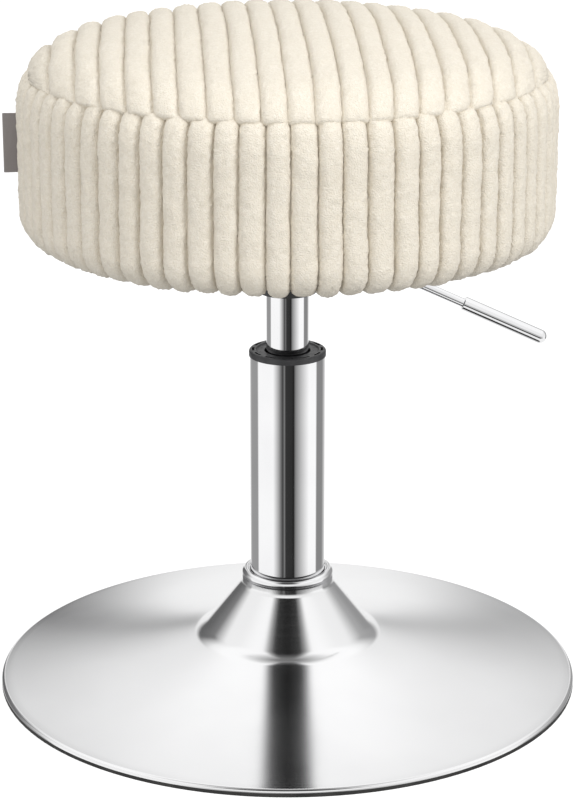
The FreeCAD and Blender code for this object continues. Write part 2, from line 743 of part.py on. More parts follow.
def build_lever():
    """Bent lever on its cross pivot: rod, grip, tube, pin and clip."""
    bend_half = "(lever_bend_radius * tan(lever_slope / 2))"
    slant_end = "(lever_reach - (grip_length - grip_bore_depth) * cos(lever_slope))"
    level = value(LEVER_LEVEL)
    slope = math.radians(value("lever_slope"))
    corner = Vector(value("lever_bend_place"), 0, level)
    along = Vector(math.cos(slope), 0, -math.sin(slope))
    tip = corner + along * ((value("lever_reach") - corner.x) / math.cos(slope))
    rod_end = corner + along * ((value(slant_end) - corner.x) / math.cos(slope))
    inner = Vector(-value("lever_overhang"), 0, level)
    bend_start = corner - Vector(value(bend_half), 0, 0)
    bend_end = corner + along * value(bend_half)
    drop = value("lever_bend_radius") * (1 - math.cos(slope / 2))
    bend_middle = Vector(bend_start.x + value("lever_bend_radius") * math.sin(slope / 2), 0, level - drop)
    path = Part.Wire([
        Part.LineSegment(inner, bend_start).toShape(),
        Part.Arc(bend_start, bend_middle, bend_end).toShape(),
        Part.LineSegment(bend_end, rod_end).toShape(),
    ])
    section = Part.Wire([Part.Circle(inner, Vector(1, 0, 0), value(LEVER_R)).toShape()])
    rod = doc.addObject("Part::Feature", "LeverRod")
    rod.Shape = path.makePipeShell([section], True, False)
    piece(rod, "lever_rod")

    grip_r = value("grip_diameter / 2")
    mouth = tip - along * value("grip_length")
    blank = Part.makeCylinder(grip_r, value("grip_length") - grip_r, mouth, along)
    blank = blank.fuse(Part.makeSphere(grip_r, tip - along * grip_r)).removeSplitter()
    bore_r = value(f"{LEVER_R} + fit_gap")
    bore = Part.makeCylinder(bore_r, value("grip_bore_depth + fit_gap"), mouth, along)
    grip = doc.addObject("Part::Feature", "LeverGrip")
    grip.Shape = blank.cut(bore)
    piece(grip, "lever_grip")

    wall_out = "(housing_gap / 2 + housing_wall)"
    tube_half = "(housing_gap / 2 - soft_gap)"
    sleeve = cross_cylinder(PIVOT_TUBE_R, "pivot_place", f"-{tube_half}", f"2 * {tube_half}", PIVOT_LEVEL)
    sleeve_bore = cross_cylinder("pivot_pin_diameter / 2 + running_gap", "pivot_place", f"-{tube_half}",
                                 f"2 * {tube_half}", PIVOT_LEVEL)
    piece(cut(sleeve, sleeve_bore), "pivot_tube")
    clip_start = f"({wall_out} + fit_gap)"
    pin_end = f"({clip_start} + pivot_clip_thickness + pivot_tail)"
    head = cross_cylinder("pivot_head_diameter / 2", "pivot_place", f"-{wall_out} - pivot_head_height",
                          "pivot_head_height", PIVOT_LEVEL)
    shank = cross_cylinder("pivot_pin_diameter / 2", "pivot_place", f"-{wall_out}",
                           f"{wall_out} + {pin_end}", PIVOT_LEVEL)
    piece(fuse(head, shank), "pivot_pin")
    clip = cross_cylinder("pivot_clip_diameter / 2", "pivot_place", clip_start, "pivot_clip_thickness",
                          PIVOT_LEVEL)
    clip_bore = cross_cylinder("pivot_pin_diameter / 2 + fit_gap", "pivot_place", clip_start,
                               "pivot_clip_thickness", PIVOT_LEVEL)
    piece(cut(clip, clip_bore), "pin_clip")


def build_seat_board():
    """Plywood disc, drilled and counterbored from above for the tee nuts."""
    disc = cylinder(BOARD_R, PLATE_TOP, "board_thickness")
    holes = []
    for across, along in bolt_places():
        holes.append(cylinder("tee_barrel_diameter / 2 + fit_gap", PLATE_TOP, "board_thickness", across, along))
        holes.append(cylinder("tee_flange_diameter / 2 + fit_gap", f"{BOARD_TOP} - tee_flange_thickness",
                              "tee_flange_thickness", across, along))
    piece(cut(disc, *holes), "seat_board")


class CushionForm:
    """The drum's outer form, turned about the axis, at a distance inside the crests of the ribs."""

    def __init__(self):
        self.radius = value("cushion_diameter / 2")
        self.bottom = value(CUSHION_BOTTOM)
        self.bottom_radius = value("bottom_radius")
        self.shoulder = value("shoulder_radius")
        self.slope = math.radians(value("crown_slope"))
        self.core_r = self.radius - self.shoulder
        self.foot_r = self.radius - self.bottom_radius
        crown_start = self.core_r + self.shoulder * math.sin(self.slope)
        self.crown = crown_start / math.sin(self.slope)
        rise = self.shoulder * math.cos(self.slope) + self.crown * (1 - math.cos(self.slope))
        self.wall_top = self.bottom + value("cushion_height") - rise
        self.crown_centre = self.bottom + value("cushion_height") - self.crown
        self.seam = self.bottom + value("seam_height")

    def radius_at(self, height, inset):
        """Radius of the side at a height."""
        foot = self.bottom + self.bottom_radius
        if height < foot:
            inner, centre, arc = self.foot_r, foot, self.bottom_radius
        elif height > self.wall_top:
            inner, centre, arc = self.core_r, self.wall_top, self.shoulder
        else:
            return self.radius - inset
        return inner + math.sqrt(max((arc - inset) ** 2 - (height - centre) ** 2, 0.0))

    def height_at(self, radius, inset):
        """Height of the top at a radius."""
        crown = self.crown - inset
        if radius <= crown * math.sin(self.slope):
            return self.crown_centre + math.sqrt(crown ** 2 - radius ** 2)
        arc = self.shoulder - inset
        return self.wall_top + math.sqrt(max(arc ** 2 - (radius - self.core_r) ** 2, 0.0))

    def core(self, inset, foot_points):
        """Solid inside the form, closed below through points of (radius, height)."""
        foot = self.bottom + self.bottom_radius
        arc = self.bottom_radius - inset
        side = self.radius - inset
        diagonal = math.sqrt(0.5)
        shoulder = self.shoulder - inset
        crown = self.crown - inset
        lean = math.pi / 2 - self.slope
        edges = []
        bottom_start = (self.foot_r, foot - arc)
        chain = list(foot_points) + [bottom_start]
        for first, last in zip(chain, chain[1:]):
            edges.append(Part.LineSegment(axial(*first), axial(*last)).toShape())
        bottom_middle = axial(self.foot_r + arc * diagonal, foot - arc * diagonal)
        edges.append(Part.Arc(axial(*bottom_start), bottom_middle, axial(side, foot)).toShape())
        edges.append(Part.LineSegment(axial(side, foot), axial(side, self.wall_top)).toShape())
        half = axial(self.core_r + shoulder * math.cos(lean / 2), self.wall_top + shoulder * math.sin(lean / 2))
        end = axial(self.core_r + shoulder * math.cos(lean), self.wall_top + shoulder * math.sin(lean))
        edges.append(Part.Arc(axial(side, self.wall_top), half, end).toShape())
        crest = axial(0, self.crown_centre + crown)
        middle = axial(crown * math.sin(self.slope / 2), self.crown_centre + crown * math.cos(self.slope / 2))
        edges.append(Part.Arc(end, middle, crest).toShape())
        edges.append(Part.LineSegment(crest, axial(*chain[0])).toShape())
        face = Part.Face(Part.Wire(edges))
        return face.revolve(Vector(), Vector(0, 0, 1), 360)


def axial(radius, height):
    return Vector(radius, 0, height)


def rib_sag(across, half_width, height):
    """How far a rib's round back has fallen from its crest, at a distance from its middle."""
    arc = (half_width ** 2 + height ** 2) / (2 * height)
    return arc - math.sqrt(arc ** 2 - across ** 2)


def cover_room(form):
    """What lies inside the cover: the foam, the board and the opening within the hem."""
    gap = value("soft_gap")
    inset = value("rib_height + cover_thickness") - gap
    board_edge = value(BOARD_R) + gap
    board_bottom = value(PLATE_TOP)
    foam_bottom = form.bottom + inset
    return form.core(inset, [
        (0, form.bottom - 2 * gap),
        (value(HEM_IN), form.bottom - 2 * gap),
        (value(HEM_IN), board_bottom),
        (board_edge, board_bottom),
        (board_edge, foam_bottom),
    ])


def build_foam(form):
    """Foam core: it caps the board and comes down round the board's edge."""
    gap = value("soft_gap")
    inset = value("rib_height + cover_thickness")
    edge = value(BOARD_R) + gap
    top = value(BOARD_TOP) + gap
    foam = doc.addObject("Part::Feature", "SeatFoam")
    foam.Shape = form.core(inset, [(0, top), (edge, top), (edge, form.bottom + inset)])
    piece(foam, "seat_foam")


def rib_section(form, across, inset, base, turn):
    """Upright slice of the top panel along one line of a rib, flat at the seam."""
    seam_r = form.radius_at(base, inset)
    reach = math.sqrt(seam_r ** 2 - across ** 2)

    def point(share):
        along = reach * share
        height = form.height_at(math.hypot(across, along), inset)
        return Vector(*place(across, along, turn), max(height, base))

    left, right = point(-1), point(1)
    left_break, right_break = point(-0.78), point(0.78)
    return Part.Wire([
        Part.LineSegment(right, left).toShape(),
        Part.Arc(left, point(-0.93), left_break).toShape(),
        Part.Arc(left_break, point(0), right_break).toShape(),
        Part.Arc(right_break, point(0.93), right).toShape(),
    ])


def place(across, along, turn):
    """Plan position of a point given across and along the ribs of the top."""
    return (across * math.cos(turn) - along * math.sin(turn), across * math.sin(turn) + along * math.cos(turn))


def build_cover_top(form, room):
    """Top panel of the cover: parallel ribs from front to back, down over the shoulder to the seam."""
    half = value("rib_pitch") / 2
    height = value("rib_height")
    base = form.seam + value("soft_gap")
    turn = math.radians(value("rib_turn"))
    sections = []
    steps = int(form.radius / half) * 2
    for step in range(-steps, steps + 1):
        across = step * half / 2
        from_crest = (across + half) % (2 * half) - half
        inset = rib_sag(from_crest, half, height)
        if form.radius_at(base, inset) > abs(across) + 0.1 * half:
            sections.append(rib_section(form, across, inset, base, turn))
    panel = Part.makeLoft(sections, True, True)
    cover = doc.addObject("Part::Feature", "CoverTop")
    cover.Shape = panel.cut(room)
    piece(cover, "cover_top")


def side_outline(form, height):
    """Scalloped ring of the side band at a height: one short arc for each rib."""
    count = int(value("side_rib_count"))
    crest = form.radius_at(height, 0)
    groove = crest - value("rib_height")
    start = math.radians(value("tag_angle"))
    pitch = 2 * math.pi / count
    edges = []
    for number in range(count):
        angles = [start + pitch * (number + part) for part in (0, 0.5, 1)]
        first, middle, last = [
            Vector(radius * math.cos(angle), radius * math.sin(angle), height)
            for radius, angle in zip((groove, crest, groove), angles)
        ]
        edges.append(Part.Arc(first, middle, last).toShape())
    return Part.Wire(edges)


def build_cover_side(form, room):
    """Side band of the cover: upright ribs from the seam down and round under the board."""
    levels = [form.bottom + share * form.bottom_radius for share in (0.02, 0.14, 0.36, 0.64, 1)]
    levels += [form.wall_top, (form.wall_top + form.seam) / 2, form.seam]
    band = Part.makeLoft([side_outline(form, level) for level in levels], True, True)
    cover = doc.addObject("Part::Feature", "CoverSide")
    cover.Shape = band.cut(room)
    piece(cover, "cover_side")


def build_tag(form):
    """Blank folded tag that stands out of a groove of the side band."""
    thickness = value("tag_thickness")
    groove = form.radius - value("rib_height")
    rib_half_angle = math.pi / value("side_rib_count")
    chord = groove * math.sin(rib_half_angle)
    room = value("soft_gap") + thickness / 2
    root = groove + room * chord / value("rib_height") * 0.5 + value("soft_gap")
    reach = form.radius + value("tag_reach") - root
    tag = doc.addObject("Part::Feature", "SideTag")
    tag.Shape = Part.makeBox(reach, thickness, value("tag_height"), Vector(root, -thickness / 2, 0))
    tag.Placement = Placement(Vector(0, 0, form.bottom + value("tag_rise")),
                              Rotation(Vector(0, 0, 1), value("tag_angle")))
    piece(tag, "side_tag")


def build_underside():
    """Dust cover with a window for the plate, and the staples that hold it and the hem."""
    dust_r = f"({HEM_IN} + dust_overlap)"
    dust_bottom = f"({CUSHION_BOTTOM} - dust_thickness)"
    disc = cylinder(dust_r, dust_bottom, "dust_thickness")
    window = doc.addObject("Part::Box", "Window")
    side = "(plate_side + 2 * dust_window_gap)"
    bind(window, Length=side, Width=side, Height="dust_thickness",
         base_x=f"-{side} / 2", base_y=f"-{side} / 2", base_z=dust_bottom)
    piece(cut(disc, window), "dust_cover")
    staples = []
    for number in range(int(value("staple_count"))):
        crown = doc.addObject("Part::Box", "StapleCrown")
        bind(crown, Length="staple_wire", Width="staple_crown", Height="staple_wire",
             base_x=f"{dust_r} - staple_inset", base_y="-staple_crown / 2",
             base_z=f"{dust_bottom} - staple_wire")
        legs = []
        for side_of_crown in ("-staple_crown / 2", "staple_crown / 2 - staple_wire"):
            leg = doc.addObject("Part::Box", "StapleLeg")
            bind(leg, Length="staple_wire", Width="staple_wire", Height="staple_leg",
                 base_x=f"{dust_r} - staple_inset", base_y=side_of_crown, base_z=dust_bottom)
            legs.append(leg)
        staple = fuse(crown, *legs)
        staple.Placement = Placement(Vector(), Rotation(Vector(0, 0, 1), 360 * (number + 0.5) / value("staple_count")))
        staples.append(staple)
    group("staples", staples)


def build_seat():
    """Board, foam, cover and trim."""
    build_seat_board()
    form = CushionForm()
    room = cover_room(form)
    build_foam(form)
    build_cover_top(form, room)
    build_cover_side(form, room)
    build_tag(form)
    build_underside()


def check_and_write():
    """Stop on any failed object or bad shape, then write one file for each sub-part."""
    doc.recompute()
    for shape_object in doc.Objects:
        if {"Invalid", "Error"} & set(shape_object.State):
            raise RuntimeError(f"{shape_object.Name} ({shape_object.Label}) failed: {shape_object.State}")
    for shape_object in pieces:
        shape = shape_object.Shape
        if shape.isNull() or not shape.isValid():
            raise RuntimeError(f"{shape_object.Label} has no valid shape")
    os.makedirs("parts", exist_ok=True)
    for shape_object in pieces:
        shape_object.Shape.exportStep(f"parts/{shape_object.Label}.step")
        print(f"{shape_object.Label}: {len(shape_object.Shape.Solids)} solids, {shape_object.Shape.Volume:.1f} mm3")


build_base()
build_spindle()
build_pressure_tube()
build_mechanism()
build_lever()
build_seat()
check_and_write()
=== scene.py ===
# %% [markdown]
# # Swivel stool with a ribbed plush seat
# The stool has a spun chrome dish, a chrome gas lift and a drum cushion in wide-ribbed cream plush.
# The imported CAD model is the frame: every solid is already in place, in metres. This lesson dresses it.
# The hard parts keep their solids and get finishes, apart from the dish, which is spun again so that it
# mirrors cleanly. The cushion, its tag and the cloth under the seat are soft, so they are modelled again
# too. The new pieces stand in for their solids.

# %% Load the frame
import json
import math
import random

import bpy
import numpy as np
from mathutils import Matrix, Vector, noise


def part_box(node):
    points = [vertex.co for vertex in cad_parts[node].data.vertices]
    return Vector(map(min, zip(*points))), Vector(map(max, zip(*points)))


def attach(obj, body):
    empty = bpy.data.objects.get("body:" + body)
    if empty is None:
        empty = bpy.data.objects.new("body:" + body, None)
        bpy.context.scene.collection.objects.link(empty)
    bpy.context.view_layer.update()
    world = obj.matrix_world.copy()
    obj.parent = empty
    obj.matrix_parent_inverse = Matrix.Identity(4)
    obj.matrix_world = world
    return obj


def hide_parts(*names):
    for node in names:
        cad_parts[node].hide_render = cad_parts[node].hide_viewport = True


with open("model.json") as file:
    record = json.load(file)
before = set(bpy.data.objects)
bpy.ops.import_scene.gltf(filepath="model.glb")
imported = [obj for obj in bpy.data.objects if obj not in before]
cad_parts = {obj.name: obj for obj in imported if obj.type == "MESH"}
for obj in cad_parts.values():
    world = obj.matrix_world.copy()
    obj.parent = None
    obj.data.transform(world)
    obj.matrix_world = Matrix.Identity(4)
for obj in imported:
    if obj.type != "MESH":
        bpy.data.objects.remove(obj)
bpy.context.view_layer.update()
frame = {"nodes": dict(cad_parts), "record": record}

scene = bpy.context.scene
scene.view_settings.view_transform = "Standard"

# %% [markdown]
# ## Camera
# The photograph was taken from a little above the seat, with a long lens, so that verticals stay nearly
# upright. A camera can be placed by eye, but here its height, distance and tilt were worked out from the
# round rims of the dish, the collar and the cap, which fixes all three at once.

# %% Camera
CAMERA_PLACE = (0.0, -1.6655, 0.7279)
CAMERA_TILT = 72.266
CAMERA_LENS = 118.57

bpy.ops.object.select_all(action="DESELECT")
bpy.ops.object.camera_add(location=CAMERA_PLACE, rotation=(math.radians(CAMERA_TILT), 0, 0))
camera = bpy.context.object
camera.name = "photo_camera"
camera.data.lens = CAMERA_LENS
scene.camera = camera
print("camera", CAMERA_PLACE, "lens", CAMERA_LENS)

# %% [markdown]
# ## Helpers for shader nodes
# Every finish is a small tree of nodes. One helper adds a node, sets its values and joins its inputs, so
# that each finish below reads as a list of what it is made of. A Mix node has sockets for numbers, vectors
# and colours under the same names, so its colour sockets are picked by number.

# %% Node helpers
MIX_FIRST = 6
MIX_SECOND = 7
MIX_RESULT = 2


def feed(tree, made, key, source):
    """Joins a socket to an input, or sets the input to a value."""
    if isinstance(source, bpy.types.NodeSocket):
        tree.links.new(source, made.inputs[key])
    else:
        made.inputs[key].default_value = source


def add_node(tree, kind, inputs=None, **settings):
    made = tree.nodes.new(kind)
    for name, setting in settings.items():
        setattr(made, name, setting)
    for key, source in (inputs or {}).items():
        feed(tree, made, key, source)
    return made


def grey_ramp(tree, factor, stops):
    """A ramp of greys: stops are (place from 0 to 1, brightness)."""
    made = add_node(tree, "ShaderNodeValToRGB", {"Fac": factor})
    marks = made.color_ramp.elements
    marks.remove(marks[-1])
    marks[0].position = stops[0][0]
    marks[0].color = (stops[0][1],) * 3 + (1,)
    for place, brightness in stops[1:]:
        marks.new(place).color = (brightness,) * 3 + (1,)
    return made.outputs["Color"]


def calculate(tree, operation, first, second=0.0, third=0.0):
    made = add_node(tree, "ShaderNodeMath", {0: first, 1: second, 2: third}, operation=operation)
    return made.outputs[0]


def mix_colours(tree, factor, first, second):
    made = add_node(tree, "ShaderNodeMix", {"Factor": factor}, data_type="RGBA")
    feed(tree, made, MIX_FIRST, first)
    feed(tree, made, MIX_SECOND, second)
    return made.outputs[MIX_RESULT]


print("node helpers ready")

# %% [markdown]
# ## Studio
# Chrome has no colour of its own: it shows the room. The photograph's room is a white tent with a dark gap
# where the camera looks in. A room could be built from white and black cards. A world that knows only
# directions does the same with less: ramps go round the horizon, and the height of the ray blends them.
#
# A mark on a card ramp is an angle and a shade. The angle is in degrees from the camera's side, to the
# right; the shade is 0 for black and 1 for white. The low cards give the column and the lift their upright
# stripes. The high card darkens the front of the cone. The corners stand behind the stool and lay a dim
# streak on the dish at each side of the cone, and the cone edges darken the cone's own left and right. The
# marks of these two, and all heights, say how much of a card is there, from 0 to 1.

# %% Cards
ROOM_LOW = [(-180, 0.92), (-160, 0.85), (-145, 0.58), (-105, 0.58), (-100, 0.96), (-45, 0.96), (-20, 0.42),
            (-14, 0.22), (-9, 0.50), (-6, 0.20), (15, 0.18), (19, 0.06), (25, 0.50), (70, 0.97), (97, 0.97),
            (102, 0.52), (132, 0.52), (160, 0.85), (180, 0.92)]
ROOM_MIDDLE = [(-180, 0.98), (-120, 0.92), (-95, 0.60), (-66, 0.24), (0, 0.10), (66, 0.24), (95, 0.60),
               (120, 0.92), (180, 0.98)]
ROOM_HIGH = [(-180, 0.98), (-44, 0.97), (-34, 0.60), (-24, 0.18), (0, 0.09), (24, 0.18), (34, 0.60),
             (44, 0.97), (180, 0.98)]
CORNERS = [(-180, 0), (-176.5, 0.1), (-173.5, 0.75), (-171, 0.95), (-168.5, 0.55), (-166, 0.2),
           (-163, 0.06), (-136, 0.05), (-112, 0), (163, 0.04), (166, 0.2), (168.5, 0.45), (171, 0.66),
           (173.5, 0.5), (176.5, 0.05), (180, 0)]
CONE_EDGES = [(-180, 0), (-163, 0), (-156, 0.95), (-126, 0.85), (-104, 0), (104, 0), (126, 0.6),
              (156, 0.7), (163, 0), (180, 0)]
STRIPE_HEIGHT = [(-90, 0), (-28, 0), (-24, 1), (-12.5, 1), (-8, 0.5), (4, 0.4), (12, 0), (90, 0)]
HIGH_CARD_HEIGHT = [(-90, 0), (38, 0), (46, 1), (90, 1)]
OVERHEAD_HEIGHT = [(-90, 0), (60, 0), (84, 1), (90, 1)]
CORNER_HEIGHT = [(-90, 0), (4, 0), (13, 1), (22, 1), (38, 0), (90, 0)]
CONE_EDGE_HEIGHT = [(-90, 0), (-16, 0), (-7, 1), (24, 1), (38, 0), (90, 0)]
WHITE_WALL = (1.03, 1.03, 1.03, 1)
OVERHEAD_GREY = (0.2, 0.2, 0.2, 1)
CORNER_GREY = (0.06, 0.06, 0.062, 1)
CONE_EDGE_GREY = (0.09, 0.09, 0.092, 1)
SOFT_LIGHT = (0.76, 0.76, 0.76, 1)
PLAIN_WHITE = (1, 1, 1, 1)
CHROME_REFLECTS = 0.82
SECOND_MIRROR_DEPTH = 2.5
print("card marks", len(ROOM_LOW) + len(ROOM_MIDDLE) + len(ROOM_HIGH) + len(CORNERS) + len(CONE_EDGES))

# %% [markdown]
# A ray's direction becomes two numbers from 0 to 1: how far round the horizon and how high it points. All
# ramps read one of the two. A card has to be brighter than it looks, because chrome swallows some light.

# %% Directions
world = bpy.data.worlds.new("studio")
scene.world = world
world.use_nodes = True
room = world.node_tree
room.nodes.clear()
direction = add_node(room, "ShaderNodeTexCoord").outputs["Generated"]
axes = add_node(room, "ShaderNodeSeparateXYZ", {0: direction})
toward_camera = calculate(room, "MULTIPLY", axes.outputs["Y"], -1)
around = calculate(room, "ARCTAN2", axes.outputs["X"], toward_camera)
around = calculate(room, "MULTIPLY_ADD", around, 1 / math.tau, 0.5)
height = calculate(room, "ARCSINE", axes.outputs["Z"])
height = calculate(room, "MULTIPLY_ADD", height, 1 / math.pi, 0.5)


def as_light(shade):
    """The light that shows as a shade, from 0 for black to 1 for white, by the screen's own curve."""
    return shade / 12.92 if shade <= 0.04045 else ((shade + 0.055) / 1.055) ** 2.4


def turn_ramp(marks):
    return grey_ramp(room, around, [((angle + 180) / 360, share) for angle, share in marks])


def card_ramp(marks):
    return turn_ramp([(angle, as_light(shade) / CHROME_REFLECTS) for angle, shade in marks])


def height_ramp(marks):
    return grey_ramp(room, height, [((angle + 90) / 180, share) for angle, share in marks])


def dark_patch(behind, turns, heights, grey):
    """Covers what is behind with grey, where both ramps say so."""
    share = calculate(room, "MULTIPLY", turn_ramp(turns), height_ramp(heights))
    return mix_colours(room, share, behind, grey)


print("direction nodes", len(room.nodes))

# %% [markdown]
# Only mirror rays see the cards. The camera sees plain white, and cloth gets an even soft light. A ray that
# has met chrome twice, as between the column and the dish, sees the dimmer middle cards in place of the
# white wall. The world counts one more step than the ray has mirrors, so the limit lies above two.

# %% World
ray = add_node(room, "ShaderNodeLightPath")
second_mirror = calculate(room, "GREATER_THAN", ray.outputs["Ray Depth"], SECOND_MIRROR_DEPTH)
first_mirror = calculate(room, "SUBTRACT", 1.0, second_mirror)
cards = mix_colours(room, second_mirror, WHITE_WALL, card_ramp(ROOM_MIDDLE))
cards = mix_colours(room, height_ramp(STRIPE_HEIGHT), cards, card_ramp(ROOM_LOW))
high_share = calculate(room, "MULTIPLY", height_ramp(HIGH_CARD_HEIGHT), first_mirror)
cards = mix_colours(room, high_share, cards, card_ramp(ROOM_HIGH))
cards = mix_colours(room, height_ramp(OVERHEAD_HEIGHT), cards, OVERHEAD_GREY)
cards = dark_patch(cards, CORNERS, CORNER_HEIGHT, CORNER_GREY)
cards = dark_patch(cards, CONE_EDGES, CONE_EDGE_HEIGHT, CONE_EDGE_GREY)
seen = mix_colours(room, ray.outputs["Is Glossy Ray"], SOFT_LIGHT, cards)
seen = mix_colours(room, ray.outputs["Is Camera Ray"], seen, PLAIN_WHITE)
seen = mix_colours(room, ray.outputs["Is Transmission Ray"], seen, PLAIN_WHITE)
sky = add_node(room, "ShaderNodeBackground", {"Color": seen, "Strength": 1.0})
room.links.new(sky.outputs[0], add_node(room, "ShaderNodeOutputWorld").inputs[0])
print("world nodes", len(room.nodes))

# %% [markdown]
# The floor is white and only there to take the stool's soft shadow. It lets mirror rays through, as a
# floor of the same white room would, so that the column keeps its stripes. For the camera it also glows, so
# that it meets the white of the room without a line.

# %% Floor
FLOOR_SIZE = 14.0
FLOOR_PAINT = (0.86, 0.86, 0.86, 1)
FLOOR_GLOW = 1.5
GLOW_SHARE = 0.5

bpy.ops.object.select_all(action="DESELECT")
bpy.ops.mesh.primitive_plane_add(size=FLOOR_SIZE, location=(0, 0, 0))
floor = bpy.context.object
floor.name = "studio_floor"
floor_paint = bpy.data.materials.new("floor_paint")
floor_paint.use_nodes = True
paint = floor_paint.node_tree
paint.nodes.clear()
ray = add_node(paint, "ShaderNodeLightPath")
dull = add_node(paint, "ShaderNodeBsdfDiffuse", {"Color": FLOOR_PAINT})
glow = calculate(paint, "MULTIPLY", ray.outputs["Is Camera Ray"], FLOOR_GLOW)
lift = add_node(paint, "ShaderNodeEmission", {"Color": PLAIN_WHITE, "Strength": glow})
lifted = add_node(paint, "ShaderNodeMixShader", {0: GLOW_SHARE, 1: dull.outputs[0], 2: lift.outputs[0]})
clear = add_node(paint, "ShaderNodeBsdfTransparent")
cover = add_node(paint, "ShaderNodeMixShader",
                 {0: ray.outputs["Is Glossy Ray"], 1: lifted.outputs[0], 2: clear.outputs[0]})
paint.links.new(cover.outputs[0], add_node(paint, "ShaderNodeOutputMaterial").inputs[0])
floor.data.materials.append(floor_paint)
print("floor", FLOOR_SIZE, "m")

# %% [markdown]
# Three large soft lamps light the cloth: the strongest from the upper right, as the bright right edges of
# the ribs show, a wide one from the front left to fill the grooves, and a weak one from above.

# %% Lamps
LAMPS_AIM = (0, 0, 0.33)


def soft_lamp(name, place, size, watts):
    """A square soft lamp that looks at the seat and is not seen in the chrome."""
    bpy.ops.object.select_all(action="DESELECT")
    toward = (Vector(LAMPS_AIM) - Vector(place)).to_track_quat("-Z", "Y")
    bpy.ops.object.light_add(type="AREA", location=place, rotation=toward.to_euler())
    lamp = bpy.context.object
    lamp.name = name
    lamp.data.size = size
    lamp.data.energy = watts
    lamp.visible_glossy = False
    print(name, watts, "W")


soft_lamp("key_lamp", (1.55, -1.2, 1.40), size=1.1, watts=25)
soft_lamp("front_lamp", (-1.2, -2.1, 0.9), size=1.6, watts=15)
soft_lamp("top_lamp", (-0.3, -0.4, 2.3), size=1.6, watts=9)

# %% [markdown]
# ## Hard finishes
# The metal, plastic, rubber and wood parts keep their solids. Each finish is one principled shader with a
# little unevenness in its roughness, because a real surface is never the same all over. The patterns read
# object coordinates, which on these parts are simply metres in the stool's own frame. Noise seldom leaves
# its middle range, so that range is what gets spread between two values.

# %% Finish helpers
NOISE_LOW = 0.3
NOISE_HIGH = 0.7

finishes = {}


def principled(name, colour, roughness, metallic=0.0):
    """A new finish, kept under its name; returns its tree and its shader."""
    made = bpy.data.materials.new(name)
    made.use_nodes = True
    shader = made.node_tree.nodes["Principled BSDF"]
    shader.inputs["Base Color"].default_value = (*colour, 1)
    shader.inputs["Roughness"].default_value = roughness
    shader.inputs["Metallic"].default_value = metallic
    finishes[name] = made
    return made.node_tree, shader


def object_place(tree):
    return add_node(tree, "ShaderNodeTexCoord").outputs["Object"]


def grain(tree, scale, detail=2.0, stretch=(1, 1, 1)):
    """Noise on object coordinates; scale is in lumps to the metre."""
    place = add_node(tree, "ShaderNodeMapping", {"Vector": object_place(tree), "Scale": stretch}).outputs[0]
    made = add_node(tree, "ShaderNodeTexNoise", {"Vector": place, "Scale": scale, "Detail": detail})
    return made.outputs["Fac"]


def between(tree, factor, low, high):
    made = add_node(tree, "ShaderNodeMapRange", {"Value": factor, "From Min": NOISE_LOW, "From Max": NOISE_HIGH,
                                                 "To Min": low, "To Max": high})
    return made.outputs[0]


def roughen(tree, shader, factor, low, high):
    tree.links.new(between(tree, factor, low, high), shader.inputs["Roughness"])


def tint(tree, shader, factor, dark, light):
    spread = between(tree, factor, 0.0, 1.0)
    tree.links.new(mix_colours(tree, spread, (*dark, 1), (*light, 1)), shader.inputs["Base Color"])


def bump(tree, shader, factor, strength, depth):
    made = add_node(tree, "ShaderNodeBump", {"Height": factor, "Strength": strength, "Distance": depth})
    tree.links.new(made.outputs[0], shader.inputs["Normal"])


print("finish helpers ready")

# %% [markdown]
# The column, the lift tube, the collar and the lever are polished chrome. A mirror with one roughness looks
# like a computer's mirror, so faint patches of handling haze vary it. The dish is chrome too, but it was
# spun on a lathe: hair-fine rings round the axis soften it. The distance from the axis drives those rings.

# %% Chrome
LATHE_RINGS = 900.0
RING_SHARE = 0.35
PATCH_SHARE = 0.65

tree, shader = principled("polished_chrome", (0.83, 0.83, 0.84), 0.05, 1.0)
roughen(tree, shader, grain(tree, 55, 4), 0.03, 0.075)
tint(tree, shader, grain(tree, 18, 3), (0.80, 0.80, 0.81), (0.86, 0.86, 0.865))

tree, shader = principled("satin_chrome", (0.82, 0.82, 0.825), 0.12, 1.0)
flat = add_node(tree, "ShaderNodeVectorMath", {0: object_place(tree), 1: (1, 1, 0)}, operation="MULTIPLY")
reach = add_node(tree, "ShaderNodeVectorMath", {0: flat.outputs[0]}, operation="LENGTH").outputs["Value"]
rings = add_node(tree, "ShaderNodeTexNoise", {"W": reach, "Scale": LATHE_RINGS, "Detail": 3.0},
                 noise_dimensions="1D").outputs["Fac"]
patches = calculate(tree, "MULTIPLY", grain(tree, 14, 4), PATCH_SHARE)
roughen(tree, shader, calculate(tree, "MULTIPLY_ADD", rings, RING_SHARE, patches), 0.10, 0.17)
tint(tree, shader, grain(tree, 9, 3), (0.80, 0.80, 0.805), (0.86, 0.86, 0.865))
bump(tree, shader, rings, 0.02, 0.0002)
print("chrome finishes", len(finishes))

# %% [markdown]
# The small dull parts: black moulded cap, rubber ring and stops, and a pale bush. Moulded plastic has an
# orange-peel skin, and rubber is dusty.

# %% Plastic and rubber
tree, shader = principled("black_plastic", (0.03, 0.03, 0.032), 0.42)
roughen(tree, shader, grain(tree, 300, 4), 0.34, 0.5)
tint(tree, shader, grain(tree, 120, 4), (0.022, 0.022, 0.024), (0.045, 0.045, 0.047))
bump(tree, shader, grain(tree, 1800, 3), 0.25, 0.0002)

tree, shader = principled("black_rubber", (0.025, 0.025, 0.025), 0.8)
roughen(tree, shader, grain(tree, 90, 5), 0.7, 0.9)
tint(tree, shader, grain(tree, 60, 5), (0.014, 0.014, 0.014), (0.04, 0.039, 0.038))
bump(tree, shader, grain(tree, 900, 3), 0.3, 0.0003)

